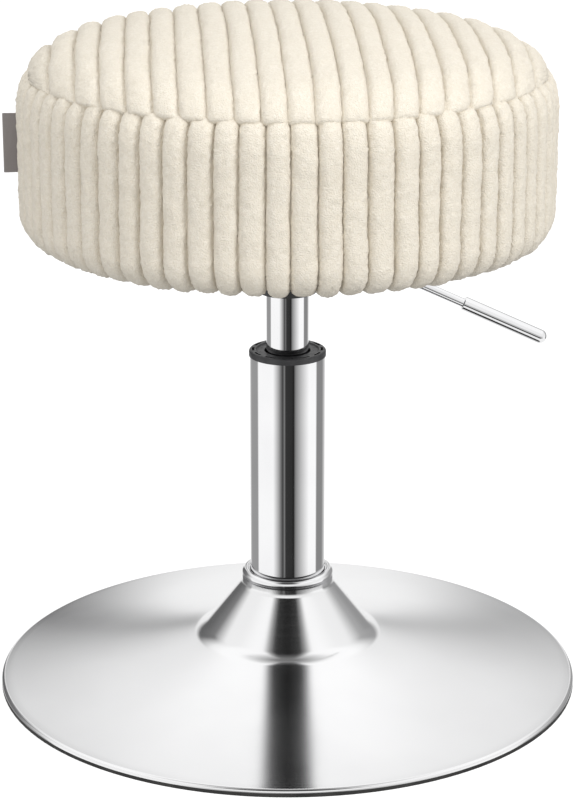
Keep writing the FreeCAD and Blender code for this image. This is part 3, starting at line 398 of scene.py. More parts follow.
tree, shader = principled("white_plastic", (0.8, 0.8, 0.78), 0.45)
roughen(tree, shader, grain(tree, 200, 3), 0.38, 0.52)
tint(tree, shader, grain(tree, 80, 3), (0.74, 0.73, 0.7), (0.82, 0.82, 0.8))
print("with plastic and rubber", len(finishes))

# %% [markdown]
# The hidden metal and the board: zinc plated hardware, a cast piston, a black enamelled mechanism and birch
# plywood. Zinc has crystals, enamel has a skin like plastic, and plywood shows grain on its faces and layers
# on its edge.

# %% Zinc, cast metal, enamel and wood
ZINC_CRYSTALS = 420.0
FIGURE_SHARE = 0.7
LAYER_SHARE = 0.3

tree, shader = principled("zinc_steel", (0.6, 0.6, 0.62), 0.3, 1.0)
crystals = add_node(tree, "ShaderNodeTexVoronoi", {"Vector": object_place(tree), "Scale": ZINC_CRYSTALS})
crystals = add_node(tree, "ShaderNodeRGBToBW", {0: crystals.outputs["Color"]}).outputs[0]
roughen(tree, shader, crystals, 0.24, 0.42)
tint(tree, shader, crystals, (0.52, 0.53, 0.56), (0.68, 0.68, 0.69))

tree, shader = principled("aluminium", (0.75, 0.75, 0.76), 0.4, 1.0)
roughen(tree, shader, grain(tree, 500, 4), 0.32, 0.5)
bump(tree, shader, grain(tree, 700, 3), 0.2, 0.0002)

tree, shader = principled("black_steel", (0.03, 0.03, 0.03), 0.38)
roughen(tree, shader, grain(tree, 120, 4), 0.3, 0.48)
tint(tree, shader, grain(tree, 45, 4), (0.02, 0.02, 0.021), (0.04, 0.04, 0.04))
bump(tree, shader, grain(tree, 700, 2), 0.25, 0.0003)

tree, shader = principled("plywood", (0.62, 0.46, 0.3), 0.65)
figure = grain(tree, 30, 6, (1, 9, 9))
layers = calculate(tree, "MULTIPLY", grain(tree, 1, 1, (2, 2, 420)), LAYER_SHARE)
wood = calculate(tree, "MULTIPLY_ADD", figure, FIGURE_SHARE, layers)
tint(tree, shader, wood, (0.5, 0.35, 0.21), (0.72, 0.56, 0.38))
roughen(tree, shader, figure, 0.55, 0.75)
bump(tree, shader, figure, 0.2, 0.0004)
print("hard finishes", sorted(finishes))

# %% [markdown]
# ## Dress the solids
# The record says which finish each solid takes. The solids come as loose triangles, so a chrome tube would
# show its facets. A Weld modifier joins the triangles, smooth shading rounds them, and an Edge Split
# modifier keeps true corners sharp. The meshes themselves stay as they are. The dark parts under the seat
# are hidden from mirror rays, because the photograph's chrome does not show them either.

# %% Finishes on the solids
SHARP_CORNER = math.radians(40)
SAME_POINT = 1e-6
UNDER_SEAT = ("seat_board", "mounting_plate", "mechanism_housing", "taper_socket", "plate_bolts",
              "spring_washers", "tee_nuts", "staples")

slot_of = {part["node"]: part["material_slot"] for part in frame["record"]["subparts"]}
dressed = [name for name in frame["nodes"] if slot_of[name] in finishes]
for name in dressed:
    solid = frame["nodes"][name]
    solid.data.materials.clear()
    solid.data.materials.append(finishes[slot_of[name]])
    solid.data.polygons.foreach_set("use_smooth", [True] * len(solid.data.polygons))
    weld = solid.modifiers.new("join_triangles", "WELD")
    weld.merge_threshold = SAME_POINT
    split = solid.modifiers.new("keep_corners", "EDGE_SPLIT")
    split.split_angle = SHARP_CORNER
for name in UNDER_SEAT:
    frame["nodes"][name].visible_glossy = False
print("dressed", len(dressed), "of", len(frame["nodes"]), "solids")

# %% [markdown]
# ## Helpers for modelling
# Round pieces are made from a section, as on a lathe: points given by distance from the axis and height are
# joined into a loop, and a Screw modifier without any rise carries it once round. The Spin operator makes
# the same ring, but lists its edges in an order that changes from run to run, and the plush later deals out
# its fibres in that order. Soft pieces are then moved point by point. Thousands of points are slow to move
# one at a time, so they are read into an array, moved together and written back.


# %% Modelling helpers
def arc_points(centre, radius, first, last, count):
    """Points (distance from axis, height) round an arc; angles are from straight outward."""
    turns = np.linspace(first, last, count)
    return [(centre[0] + radius * math.cos(turn), centre[1] + radius * math.sin(turn)) for turn in turns]


def slope_points(centre, radius, first, last, count):
    """Points of a hollow curve below its centre, from one slope to another, in degrees."""
    start = -math.pi / 2 - math.radians(first)
    return arc_points(centre, radius, start, -math.pi / 2 - math.radians(last), count)


def pick(piece):
    """Makes a piece the only one selected, and active."""
    bpy.ops.object.select_all(action="DESELECT")
    piece.select_set(True)
    bpy.context.view_layer.objects.active = piece


def face_outward():
    """Turns the faces of the active piece outward."""
    bpy.ops.object.mode_set(mode="EDIT")
    bpy.ops.mesh.select_all(action="SELECT")
    bpy.ops.mesh.normals_make_consistent(inside=False)
    bpy.ops.object.mode_set(mode="OBJECT")


def read_points(piece):
    points = np.zeros(len(piece.data.vertices) * 3)
    piece.data.vertices.foreach_get("co", points)
    return points.reshape(-1, 3)


def write_points(piece, points):
    piece.data.vertices.foreach_set("co", np.ascontiguousarray(points, dtype=np.float64).ravel())
    piece.data.update()


def smooth_noise(places, scale, seed):
    return np.array([noise.noise(Vector(p) * scale + Vector((seed, 0, 0))) for p in places])


def spin_section(name, section, turns):
    """Carries a closed section round the axis into a ring with its faces outward."""
    bpy.ops.object.select_all(action="DESELECT")
    bpy.ops.mesh.primitive_circle_add(vertices=len(section), radius=0.01)
    made = bpy.context.object
    made.name = name
    loop = np.zeros((len(section), 3))
    loop[:, 0] = section[:, 0]
    loop[:, 2] = section[:, 1]
    write_points(made, loop)
    lathe = made.modifiers.new("lathe", "SCREW")
    lathe.angle = math.tau
    lathe.steps = turns
    lathe.render_steps = turns
    bpy.ops.object.modifier_apply(modifier=lathe.name)
    face_outward()
    print(name, len(made.data.vertices), "points")
    return made


print("modelling helpers ready")

# %% [markdown]
# ## Dish
# The floor dish is one sheet of steel spun over a former: a short neck, a steep cone, a rounded knee, a wide
# skirt and a rolled rim. Its solid has the right shape, but the triangles of a solid are long and uneven, and
# a mirror shows that as saw teeth along the rim. The same section, drawn once and spun in even steps as on
# the lathe, reflects cleanly. The radii are those of the solid. The skirt is an arc that leaves the knee at
# the skirt's slope and ends on the rim, which fixes its radius.

# %% Draw the dish
WALL = 0.0016
NECK_INSIDE = 0.02905
NECK_STRAIGHT = 0.0025
NECK_BEND = 0.005
UPRIGHT = 90
CONE_SLOPE = 52
CONE_LENGTH = 0.0365
KNEE_RADIUS = 0.018
SKIRT_SLOPE = 15
RIM_LIP = 0.0025

dish_low, dish_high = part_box("base_dish")
bend = (NECK_INSIDE + WALL + NECK_BEND, dish_high.z - NECK_STRAIGHT)
cone_turn = math.radians(CONE_SLOPE)
skirt_turn = math.radians(SKIRT_SLOPE)
knee_step = KNEE_RADIUS - NECK_BEND
knee = (bend[0] + CONE_LENGTH * math.cos(cone_turn) + knee_step * math.sin(cone_turn),
        bend[1] - CONE_LENGTH * math.sin(cone_turn) + knee_step * math.cos(cone_turn))
skirt_start = slope_points(knee, KNEE_RADIUS, SKIRT_SLOPE, SKIRT_SLOPE, count=1)[0]
lip = (dish_high.x - RIM_LIP, dish_low.z)
run = lip[0] - skirt_start[0]
fall = skirt_start[1] - (lip[1] + RIM_LIP)
skirt_radius = math.hypot(run, fall) / (2 * math.sin(skirt_turn - math.atan(fall / run)))
skirt_centre = (skirt_start[0] + skirt_radius * math.sin(skirt_turn),
                skirt_start[1] + skirt_radius * math.cos(skirt_turn))
lip_slope = math.degrees(math.asin((skirt_centre[0] - lip[0]) / skirt_radius))
print("skirt radius", round(skirt_radius, 3), "m, slope at the rim", round(lip_slope, 1))

# %% [markdown]
# The section runs from the neck down the outside to the rim and back up the inside, one wall lower.

# %% Spin the dish
DISH_STEPS = 256
DISH_CORNER = math.radians(35)

dish_section = [(NECK_INSIDE, dish_high.z), (NECK_INSIDE + WALL, dish_high.z)]
dish_section += slope_points(bend, NECK_BEND, UPRIGHT, CONE_SLOPE, count=8)
dish_section += slope_points(knee, KNEE_RADIUS, CONE_SLOPE, SKIRT_SLOPE, count=18)
dish_section += slope_points(skirt_centre, skirt_radius, SKIRT_SLOPE, lip_slope, count=26)[1:-1]
dish_section += arc_points(lip, RIM_LIP, math.pi / 2, 0, count=10)
dish_section += arc_points(lip, RIM_LIP - WALL, 0, math.pi / 2, count=6)
dish_section += slope_points(skirt_centre, skirt_radius + WALL, lip_slope, SKIRT_SLOPE, count=14)[1:-1]
dish_section += slope_points(knee, KNEE_RADIUS + WALL, SKIRT_SLOPE, CONE_SLOPE, count=10)
dish_section += slope_points(bend, NECK_BEND + WALL, CONE_SLOPE, UPRIGHT, count=6)
dish = spin_section("spun_dish", np.array(dish_section), DISH_STEPS)
bpy.ops.object.shade_smooth_by_angle(angle=DISH_CORNER)
dish.data.materials.append(finishes["satin_chrome"])
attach(dish, "base")
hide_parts("base_dish")
print("dish", len(dish.data.polygons), "faces")

# %% [markdown]
# ## Plush
# The cover is a deep pile with a soft sheen and a fine tufted grain. Its colour holds painted shade in the
# grooves and a painted highlight on the crests, where the light falls. Real hair would be far too heavy, so
# the cover carries a value, 0 in a groove and 1 on a crest, that paints this shade and highlight into its
# colour, and fine noise makes the tufts.

# %% Plush finish
# Painted shade and highlight: the groove cream is darker and the crest cream lighter, as light falls on the
# ribs.
SHADED_GROOVE_CREAM = (0.50, 0.43, 0.31, 1)
LIT_CREST_CREAM = (0.78, 0.72, 0.61, 1)
TIP_CREAM = (0.94, 0.90, 0.83, 1)
HOLLOW_CREAM = (0.66, 0.59, 0.47, 1)
NAP_CREAM = (0.72, 0.65, 0.53, 1)
SHEEN_CREAM = (1.0, 0.97, 0.9, 1)

tree, shader = principled("cream_plush", (0.8, 0.74, 0.64), 0.92)
painted_light = add_node(tree, "ShaderNodeAttribute", attribute_name="painted_light").outputs["Fac"]
tufts = grain(tree, 1100, 3)
hollows = grain(tree, 420, 3)
nap = grain(tree, 60, 4, (1, 1, 0.5))
# The value mixes the creams: painted shade in the grooves, painted highlight on the crests.
depth = grey_ramp(tree, painted_light, [(0.0, 0.0), (0.22, 0.55), (0.5, 0.9), (1.0, 1.0)])
cloth = mix_colours(tree, depth, SHADED_GROOVE_CREAM, LIT_CREST_CREAM)
cloth = mix_colours(tree, between(tree, tufts, 0.0, 0.55), cloth, TIP_CREAM)
cloth = mix_colours(tree, between(tree, hollows, 0.0, 0.35), cloth, HOLLOW_CREAM)
cloth = mix_colours(tree, between(tree, nap, 0.0, 0.18), cloth, NAP_CREAM)
tree.links.new(cloth, shader.inputs["Base Color"])
shader.inputs["Specular IOR Level"].default_value = 0.2
shader.inputs["Sheen Weight"].default_value = 0.25
shader.inputs["Sheen Roughness"].default_value = 0.45
shader.inputs["Sheen Tint"].default_value = SHEEN_CREAM
bump(tree, shader, tufts, 0.8, 0.0012)
print("plush nodes", len(tree.nodes))

# %% [markdown]
# ## The cushion's form
# Under the ribs the cushion is a drum: upright sides, a round shoulder, a slightly crowned top and a
# rounded lower edge where the cover turns under the board. These few radii give the whole outline, and
# they are the same as the solid's. The seam lies on the shoulder, where the top panel meets the side band.

# %% Drum outline
DRUM_RADIUS = 0.1735
DRUM_FOOT = 0.3087
SHOULDER = 0.043
CROWN_SLOPE = math.radians(13)
LOWER_EDGE = 0.020
TAG_ANGLE = math.radians(186)

drum_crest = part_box("cover_top")[1].z
seam_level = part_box("cover_side")[1].z
core_radius = DRUM_RADIUS - SHOULDER
crown_radius = (core_radius + SHOULDER * math.sin(CROWN_SLOPE)) / math.sin(CROWN_SLOPE)
shoulder_level = drum_crest - SHOULDER * math.cos(CROWN_SLOPE) - crown_radius * (1 - math.cos(CROWN_SLOPE))
seam_turn = math.asin((seam_level - shoulder_level) / SHOULDER)
seam_radius = core_radius + SHOULDER * math.cos(seam_turn)
print("seam at", round(seam_radius, 4), round(seam_level, 4), "shoulder from", round(shoulder_level, 4))

# %% [markdown]
# Small functions answer where the top is and which way it faces, how full a rib is across its width, and
# where lines across a rib should lie. Side and top ribs are both eight spans wide. The ribs of a hand-sewn
# cover are not all alike, so each draws its own fullness, and each groove strays a little.

# %% Rib helpers
RIB_SPANS = 8
RIB_SQUARENESS = 3.2
ROUNDING = 1e-6
FULLNESS_RANGE = (-0.10, 0.04)
GROOVE_STRAY = 0.045

seeds = random.Random(12)


def top_point(reach):
    """Height and outward normal (across, up) of the top at distances from the axis."""
    on_crown = reach <= crown_radius * math.sin(CROWN_SLOPE)
    lean = np.where(on_crown, np.arcsin(np.clip(reach / crown_radius, -1, 1)),
                    np.arcsin(np.clip((reach - core_radius) / SHOULDER, -1, 1)))
    level = np.where(on_crown, drum_crest - crown_radius * (1 - np.cos(lean)),
                     shoulder_level + SHOULDER * np.cos(lean))
    return level, np.sin(lean), np.cos(lean)


def plump(share):
    """How full a rib is across its width: 0 in the grooves at share 0 and 1, and 1 on its crest."""
    across = np.abs(2 * share - 1)
    return np.clip(1 - across ** RIB_SQUARENESS, 0, 1) ** 0.5


def crowd_to_grooves(share):
    """Moves evenly spaced lines toward the grooves, where a rib turns most."""
    return 0.5 - 0.5 * np.cos(np.pi * share)


def draw_fullness(count):
    """How full each rib is, compared with the drawn one."""
    return np.array([1 + seeds.uniform(*FULLNESS_RANGE) for _ in range(count)])


def draw_strays(count):
    """How far each groove strays, in ribs."""
    return [seeds.uniform(-GROOVE_STRAY, GROOVE_STRAY) for _ in range(count)]


# Stores the value that paints shade into the grooves and along the seam, and a highlight onto the crests.
def store_painted_light(piece, amounts):
    layer = piece.data.attributes.new("painted_light", "FLOAT", "POINT")
    layer.data.foreach_set("value", np.ascontiguousarray(amounts, dtype=np.float32))


print("rib helpers ready")

# %% [markdown]
# ## Side band
# The side band is a strip of ribbed plush sewn into a ring, turned under the board and stapled there. A
# lathe is the natural tool: its section is drawn once as a closed loop and spun round the axis, eight steps
# to each of the 68 ribs. The section starts a little inside the seam, so that the band is tucked under the
# top panel. It goes down the outside, under to the hem, and back up the inside.

# %% Spin the band
SIDE_RIBS = 68
TUCK_TURN = 0.09
HEM_RADIUS = 0.110
LINING_FOOT = 0.3110
LINING_TOP_GAP = 0.004

lower_centre = (DRUM_RADIUS - LOWER_EDGE, DRUM_FOOT + LOWER_EDGE)
outer_skin = arc_points((core_radius, shoulder_level), SHOULDER, seam_turn + TUCK_TURN, 0, count=9)
outer_skin += [(DRUM_RADIUS, level) for level in np.linspace(shoulder_level, lower_centre[1], 17)[1:-1]]
outer_skin += arc_points(lower_centre, LOWER_EDGE, 0, -math.pi / 2, count=9)
outer_skin += [(reach, DRUM_FOOT) for reach in np.linspace(lower_centre[0], HEM_RADIUS, 7)[1:]]
inner_skin = [(HEM_RADIUS, LINING_FOOT), (0.142, LINING_FOOT), (0.150, 0.324), (0.156, 0.345),
              (0.156, 0.395), (0.155, seam_level - LINING_TOP_GAP)]
section = np.array(outer_skin + inner_skin)
side_band = spin_section("plush_side", section, SIDE_RIBS * RIB_SPANS)

# %% [markdown]
# Before any point moves, each one is asked where it is: how far round from the tag, which point of the
# section it came from, which way the skin faces there, and how far along the skin that is from the seam.

# %% Measure the band
points = read_points(side_band)
reach = np.hypot(points[:, 0], points[:, 1])
turn = (np.arctan2(points[:, 1], points[:, 0]) - TAG_ANGLE) % math.tau
misses = (reach[:, None] - section[:, 0]) ** 2 + (points[:, 2][:, None] - section[:, 1]) ** 2
nearest = np.argmin(misses, axis=1)
outer = nearest < len(outer_skin)
run = np.gradient(np.array(outer_skin), axis=0)
run /= np.linalg.norm(run, axis=1)[:, None]
facing = np.zeros((len(section), 2))
facing[:len(outer_skin)] = np.stack([-run[:, 1], run[:, 0]], axis=1)
steps = np.linalg.norm(np.diff(np.array(outer_skin), axis=0), axis=1)
along = np.zeros(len(section))
along[1:len(outer_skin)] = np.cumsum(steps)
print("outer points", int(outer.sum()), "skin length", round(float(along.max()), 4), "m")

# %% [markdown]
# Then the lines of each rib crowd toward its grooves, and the grooves stray from their even places: each by
# its own amount, and all of them a little from place to place.

# %% Set out the side ribs
WANDER = 0.05
WANDER_ROUND = 3
WANDER_UP = 26

rib_angle = math.tau / SIDE_RIBS
place = np.round(turn / rib_angle * RIB_SPANS) / RIB_SPANS
whole = np.floor(place + ROUNDING)
rib = whole.astype(int) % SIDE_RIBS
share = place - whole
rib_fullness = draw_fullness(SIDE_RIBS)
groove_shift = np.array(draw_strays(SIDE_RIBS))
spots = np.stack([np.cos(turn) * WANDER_ROUND, np.sin(turn) * WANDER_ROUND, points[:, 2] * WANDER_UP], axis=1)
wander = smooth_noise(spots, scale=1.0, seed=4.0)
shift = groove_shift[rib] * (1 - share) + groove_shift[(rib + 1) % SIDE_RIBS] * share + WANDER * wander
new_turn = TAG_ANGLE + (whole + crowd_to_grooves(share) + shift) * rib_angle
print("side ribs", SIDE_RIBS, "fullness", round(rib_fullness.min(), 3), "to", round(rib_fullness.max(), 3))

# %% [markdown]
# At last the outer skin sinks. It sinks most in a groove, less so toward the hem, where the cover is pulled
# flat. A slack rib falls back as a whole, the seam draws the band in, and the tuck above it dives under.

# %% Sink the grooves
RIB_DEPTH = 0.0068
SLACK_FALLS_BACK = 0.004
HEM_START = 0.118
HEM_LENGTH = 0.045
HEM_FLATTENS = 0.72
SEAM_DIP = 0.0012
SEAM_WIDTH = 0.006
SEAM_SHADE = 0.4
TUCK_DIVES = 0.6
SIDE_GROOVE_PAINTED_LIGHT = 0.12
LINING_PAINTED_LIGHT = 0.6

full = plump(crowd_to_grooves(share))
hem_share = np.clip((along[nearest] - HEM_START) / HEM_LENGTH, 0, 1)
rib_depth = RIB_DEPTH * rib_fullness[rib] * (1 - HEM_FLATTENS * hem_share)
below_seam = along[nearest] - TUCK_TURN * SHOULDER
seam_dip = SEAM_DIP * np.clip(1 - below_seam / SEAM_WIDTH, 0, 1) ** 2
seam_dip += np.clip(-below_seam, 0, 1) * TUCK_DIVES
slack = (1 - rib_fullness[rib]) * SLACK_FALLS_BACK
sink = np.where(outer, rib_depth * (1 - full) + slack + seam_dip, 0)
new_reach = reach - sink * facing[nearest, 0]
points[:, 0] = np.where(outer, new_reach * np.cos(new_turn), points[:, 0])
points[:, 1] = np.where(outer, new_reach * np.sin(new_turn), points[:, 1])
points[:, 2] -= sink * facing[nearest, 1]
write_points(side_band, points)
# Painted shade and highlight: the value is low in a groove and along the seam, high on a crest, middling on the
# lining.
shaded = 1 - SEAM_SHADE * np.clip(seam_dip / SEAM_DIP, 0, 1)
side_painted_light = (SIDE_GROOVE_PAINTED_LIGHT + (1 - SIDE_GROOVE_PAINTED_LIGHT) * full) * shaded
store_painted_light(side_band, np.where(outer, side_painted_light, LINING_PAINTED_LIGHT))
print("grooves", SIDE_RIBS, "deepest", round(float(sink.max()) * 1000, 2), "mm")

# %% [markdown]
# ## Top panel
# The top is a round panel of the same plush with its ribs running from front to back, turned three degrees.
# A disc of rings would cross the ribs at every angle. A grid gives straight rows: every column of the grid
# is laid along the ribs and shortened to the panel's round edge, with its rows crowded toward both ends,
# where the shoulder turns.

# %% Lay out the panel
TOP_RIBS = 21
TOP_ROWS = 58
RIB_PITCH = 0.016
ROW_CROWDING = 0.25
RIM_INSET = 0.0002
SHORTEST_COLUMN = 0.003
TOP_WANDER = 0.0009
WANDER_ACROSS = 0.9
WANDER_FORWARD = 2.2
WANDER_FADE = 4

bpy.ops.object.select_all(action="DESELECT")
bpy.ops.mesh.primitive_grid_add(x_subdivisions=TOP_RIBS * RIB_SPANS, y_subdivisions=TOP_ROWS, size=2)
top_panel = bpy.context.object
top_panel.name = "plush_top"
points = read_points(top_panel)
place = np.round((points[:, 0] + 1) / 2 * TOP_RIBS * RIB_SPANS) / RIB_SPANS
rib = np.clip(np.floor(place + ROUNDING).astype(int), 0, TOP_RIBS - 1)
share = place - rib
forward = (1 + ROW_CROWDING) * points[:, 1] - ROW_CROWDING * points[:, 1] ** 3
rib_fullness = draw_fullness(TOP_RIBS)
groove_shift = np.array([0] + draw_strays(TOP_RIBS - 1) + [0])
shift = groove_shift[rib] * (1 - share) + groove_shift[rib + 1] * share
rim = seam_radius - RIM_INSET
across = np.clip((rib + crowd_to_grooves(share) + shift - TOP_RIBS / 2) * RIB_PITCH, -rim, rim)
reach_along = np.sqrt(np.maximum(rim ** 2 - across ** 2, SHORTEST_COLUMN ** 2))
spots = np.stack([place * WANDER_ACROSS, forward * WANDER_FORWARD, forward * 0], axis=1)
wander = smooth_noise(spots, scale=1.0, seed=9.0)
inside_rim = np.clip((1 - np.abs(forward)) * WANDER_FADE, 0, 1)
across_soft = np.clip(across + TOP_WANDER * wander * inside_rim, -rim, rim)
plan = np.stack([across_soft, forward * reach_along], axis=1)
print("panel", len(points), "points, ribs", TOP_RIBS)

# %% [markdown]
# The flat layout is lifted onto the crown and the shoulder, and its grooves and seam sink as on the side.

# %% Lift the panel onto the crown
TOP_DEPTH = 0.0050
RIB_TURN = math.radians(3)
STEEPEST = 0.4
RIM_DROP = 0.0015
TOP_GROOVE_PAINTED_LIGHT = 0.5
NOT_ZERO = 1e-9

reach = np.hypot(plan[:, 0], plan[:, 1])
level, lean_out, lean_up = top_point(np.minimum(reach, seam_radius))
full = plump(crowd_to_grooves(share))
to_rim = np.maximum(seam_radius - reach, 0) / np.maximum(lean_up, STEEPEST)
seam_dip = SEAM_DIP * np.clip(1 - to_rim / SEAM_WIDTH, 0, 1) ** 2
slack = (1 - rib_fullness[rib]) * SLACK_FALLS_BACK
sink = TOP_DEPTH * rib_fullness[rib] * (1 - full) + slack + seam_dip
outward = plan / np.maximum(reach, NOT_ZERO)[:, None]
plan -= outward * (sink * lean_out)[:, None]
points[:, 0] = plan[:, 0] * math.cos(RIB_TURN) - plan[:, 1] * math.sin(RIB_TURN)
points[:, 1] = plan[:, 0] * math.sin(RIB_TURN) + plan[:, 1] * math.cos(RIB_TURN)
points[:, 2] = np.maximum(level - sink * lean_up, seam_level - RIM_DROP)
write_points(top_panel, points)
# Painted shade and highlight as on the side: low in a groove and along the seam, high on a crest.
top_painted_light = TOP_GROOVE_PAINTED_LIGHT + (1 - TOP_GROOVE_PAINTED_LIGHT) * full
store_painted_light(top_panel, top_painted_light * (1 - SEAM_SHADE * seam_dip / SEAM_DIP))
print("panel from", round(float(points[:, 2].min()), 4), "to", round(float(points[:, 2].max()), 4), "m")

# %% [markdown]
# ## Pile
# One subdivision rounds the ribs. Plush is not smooth, even from afar: its outline is fuzzy and its light
# breaks up. So every point then moves along its normal by a sum of broad lumps, small tufts and a random
# bit of fibre. The cushion is hidden from mirror rays, as the photograph's chrome shows only the studio.

# %% Round the pile and scatter its tufts
LUMPS_PER_METRE = 70.0
LUMP_HEIGHT = 0.0006
TUFTS_PER_METRE = 420.0
TUFT_HEIGHT = 0.0004
FIBRE_SPREAD = 0.00022
FIBRE_LIMIT = 0.0005


def finish_plush(piece, seed):
    """One subdivision, then small lumps and tufts along the normals."""
    pick(piece)
    rounding = piece.modifiers.new("round_ribs", "SUBSURF")
    rounding.levels = 1
    rounding.render_levels = 1
    bpy.ops.object.modifier_apply(modifier=rounding.name)
    points = read_points(piece)
    normals = np.zeros(len(points) * 3)
    piece.data.vertex_normals.foreach_get("vector", normals)
    lumps = smooth_noise(points, LUMPS_PER_METRE, seed)
    tufts = smooth_noise(points, TUFTS_PER_METRE, seed + 3)
    fibres = np.random.default_rng(int(seed)).normal(0, FIBRE_SPREAD, len(points))
    fibres = np.clip(fibres, -FIBRE_LIMIT, FIBRE_LIMIT)
    lift = LUMP_HEIGHT * lumps + TUFT_HEIGHT * tufts + fibres
    write_points(piece, points + normals.reshape(-1, 3) * lift[:, None])
    bpy.ops.object.shade_smooth()
    piece.data.materials.append(finishes["cream_plush"])
    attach(piece, "seat")
    piece.visible_glossy = False
    print(piece.name, len(piece.data.polygons), "faces")


finish_plush(side_band, 1.0)
finish_plush(top_panel, 21.0)
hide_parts("cover_side", "seat_foam")
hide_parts("cover_top")

# %% [markdown]
# The top panel is still an open skin. Its rim is drawn down and in for the seam, and one face closes it
# below, so that the panel is a solid pad. This comes after the pile, so that the flat face stays flat.

# %% Close the panel below
PAD_EDGE = 0.004
PAD_TAPER = 0.97

pick(top_panel)
bpy.ops.object.mode_set(mode="EDIT")
bpy.ops.mesh.select_mode(type="VERT")
bpy.ops.mesh.select_all(action="DESELECT")
bpy.ops.mesh.select_non_manifold()
bpy.ops.mesh.extrude_region_move(TRANSFORM_OT_translate={"value": (0, 0, -PAD_EDGE)})
bpy.ops.transform.resize(value=(PAD_TAPER, PAD_TAPER, 1), center_override=(0, 0, 0))
bpy.ops.mesh.edge_face_add()
bpy.ops.object.mode_set(mode="OBJECT")
face_outward()
bpy.ops.object.shade_smooth()
print("panel closed", len(top_panel.data.polygons), "faces")

# %% [markdown]
# ## Tag
# A short woven tape is folded double and sewn into a side groove, so its round fold stands out. It is left
# plain. It could be a thin box, but a fold has two leaves: a grid is bent round the fold, given the tape's
# thickness with Solidify and allowed to bow a little, as tape does. Two waves crossed make the weave.

# %% Tag finish
WEFT_SCALE = 520.0
WARP_SCALE = 420.0


def threads(tree, scale, bands):
    """Fine upright or level bands, in object coordinates."""
    made = add_node(tree, "ShaderNodeTexWave", {"Vector": object_place(tree), "Scale": scale},
                    bands_direction=bands)
    return made.outputs["Fac"]


tree, shader = principled("grey_tape", (0.27, 0.25, 0.245), 0.85)
weave = calculate(tree, "MULTIPLY", threads(tree, WEFT_SCALE, "Z"), threads(tree, WARP_SCALE, "X"))
tint(tree, shader, weave, (0.22, 0.2, 0.195), (0.31, 0.29, 0.28))
bump(tree, shader, weave, 0.5, 0.0003)
shader.inputs["Sheen Weight"].default_value = 0.15
print("tape nodes", len(tree.nodes))

# %% [markdown]
# Along the grid's first direction lie one leaf, the fold and the other leaf; the second direction is up.

# %% Fold the tag
TAG_SEWN_IN = 0.0045
TAG_STANDS_OUT = 0.0085
TAPE_THICKNESS = 0.00045
HALF_GAP = 0.0006
FOLD_SHARE = 0.15
BOW_DEPTH = 0.0011
BOW_WAVE = 1.2
BOW_START = 0.4
SOFT_CORNER = math.radians(40)

tag_low, tag_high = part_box("side_tag")
tag_root = DRUM_RADIUS - TAG_SEWN_IN
tag_reach = DRUM_RADIUS + TAG_STANDS_OUT
bpy.ops.object.select_all(action="DESELECT")
bpy.ops.mesh.primitive_grid_add(x_subdivisions=28, y_subdivisions=24, size=1)
tag = bpy.context.object
tag.name = "folded_tag"
points = read_points(tag)
leaf = points[:, 0] * 2
rise = points[:, 1] + 0.5
fold = tag_reach - HALF_GAP
round_part = np.abs(leaf) < FOLD_SHARE
angle = leaf / FOLD_SHARE * math.pi / 2
straight = fold - (np.abs(leaf) - FOLD_SHARE) / (1 - FOLD_SHARE) * (fold - tag_root)
out = np.where(round_part, fold + HALF_GAP * np.cos(angle), straight)
aside = np.where(round_part, HALF_GAP * np.sin(angle), np.sign(leaf) * HALF_GAP)
bow = BOW_DEPTH * np.sin(rise * math.pi * BOW_WAVE + BOW_START) * (out - tag_root) / (tag_reach - tag_root)
points[:, 0] = out * math.cos(TAG_ANGLE) - (aside + bow) * math.sin(TAG_ANGLE)
points[:, 1] = out * math.sin(TAG_ANGLE) + (aside + bow) * math.cos(TAG_ANGLE)
points[:, 2] = tag_low.z + rise * (tag_high.z - tag_low.z)
write_points(tag, points)
thick = tag.modifiers.new("tape_thickness", "SOLIDIFY")
thick.thickness = TAPE_THICKNESS
thick.offset = 0
bpy.ops.object.modifier_apply(modifier=thick.name)
face_outward()
bpy.ops.object.shade_smooth_by_angle(angle=SOFT_CORNER)
tag.data.materials.append(finishes["grey_tape"])
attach(tag, "seat")
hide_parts("side_tag")
print("tag", len(tag.data.polygons), "faces")

# %% [markdown]
# ## Dust cover
# Thin felted cloth closes the underside, with a square window for the steel plate. Two loops, one round and
# one pushed out into a square, are bridged with several rows, so that there is something to sag.

# %% Cut the dust cover
LOOP_POINTS = 144
ROWS_BETWEEN = 7
WINDOW_HALF = 0.077
INNER_LOOP_WITHIN = 0.1

tree, shader = principled("dust_cloth", (0.03, 0.03, 0.032), 0.95)
tint(tree, shader, grain(tree, 380, 5), (0.018, 0.018, 0.019), (0.05, 0.05, 0.052))
bump(tree, shader, grain(tree, 1500, 4), 0.4, 0.0003)
shader.inputs["Sheen Weight"].default_value = 0.1

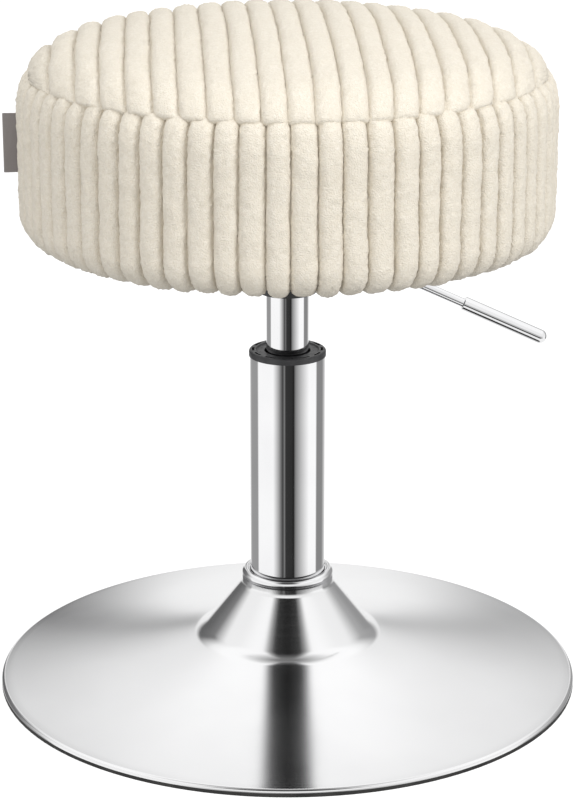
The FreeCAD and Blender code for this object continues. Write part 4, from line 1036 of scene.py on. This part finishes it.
dust_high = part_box("dust_cover")[1]
dust_radius = dust_high.x
bpy.ops.object.select_all(action="DESELECT")
bpy.ops.mesh.primitive_circle_add(vertices=LOOP_POINTS, radius=dust_radius, location=(0, 0, dust_high.z))
dust = bpy.context.object
dust.name = "dust_cloth"
bpy.ops.object.transform_apply(location=True, rotation=False, scale=False)
bpy.ops.object.mode_set(mode="EDIT")
bpy.ops.mesh.select_all(action="DESELECT")
bpy.ops.mesh.primitive_circle_add(vertices=LOOP_POINTS, radius=WINDOW_HALF, location=(0, 0, dust_high.z))
bpy.ops.object.mode_set(mode="OBJECT")
points = read_points(dust)
inner = np.hypot(points[:, 0], points[:, 1]) < INNER_LOOP_WITHIN
stretch = WINDOW_HALF / np.maximum(np.abs(points[:, 0]), np.abs(points[:, 1]))
points[inner, :2] *= stretch[inner][:, None]
write_points(dust, points)
bpy.ops.object.mode_set(mode="EDIT")
bpy.ops.mesh.select_all(action="SELECT")
bpy.ops.mesh.bridge_edge_loops(number_cuts=ROWS_BETWEEN)
bpy.ops.object.mode_set(mode="OBJECT")
print("dust cover", len(dust.data.polygons), "faces")

# %% [markdown]
# The cloth is pulled flat and stapled, but between the stapled edge and the window it hangs a little.
# Solidify then gives it its thickness, on the side that faces the board.

# %% Hang the dust cover
STAPLED_EDGE = 0.012
EDGE_RUN = 0.02
WINDOW_RUN = 0.01
SAG_DEPTH = 0.0006
SAG_WANDER = 0.0005
CLOTH_THICKNESS = 0.0006

points = read_points(dust)
reach = np.hypot(points[:, 0], points[:, 1])
from_edge = np.clip((dust_radius - STAPLED_EDGE - reach) / EDGE_RUN, 0, 1)
from_window = np.clip((np.max(np.abs(points[:, :2]), axis=1) - WINDOW_HALF) / WINDOW_RUN, 0, 1)
hang = SAG_DEPTH + SAG_WANDER * smooth_noise(points, scale=45.0, seed=7.0)
points[:, 2] -= from_edge * from_window * hang
write_points(dust, points)
face_outward()
faces_down = dust.data.polygons[0].normal.z < 0
thick = dust.modifiers.new("cloth_thickness", "SOLIDIFY")
thick.thickness = CLOTH_THICKNESS
thick.offset = 1 if faces_down else -1
bpy.ops.object.modifier_apply(modifier=thick.name)
bpy.ops.object.shade_smooth_by_angle(angle=SOFT_CORNER)
dust.data.materials.append(finishes["dust_cloth"])
dust.visible_glossy = False
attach(dust, "seat")
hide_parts("dust_cover")
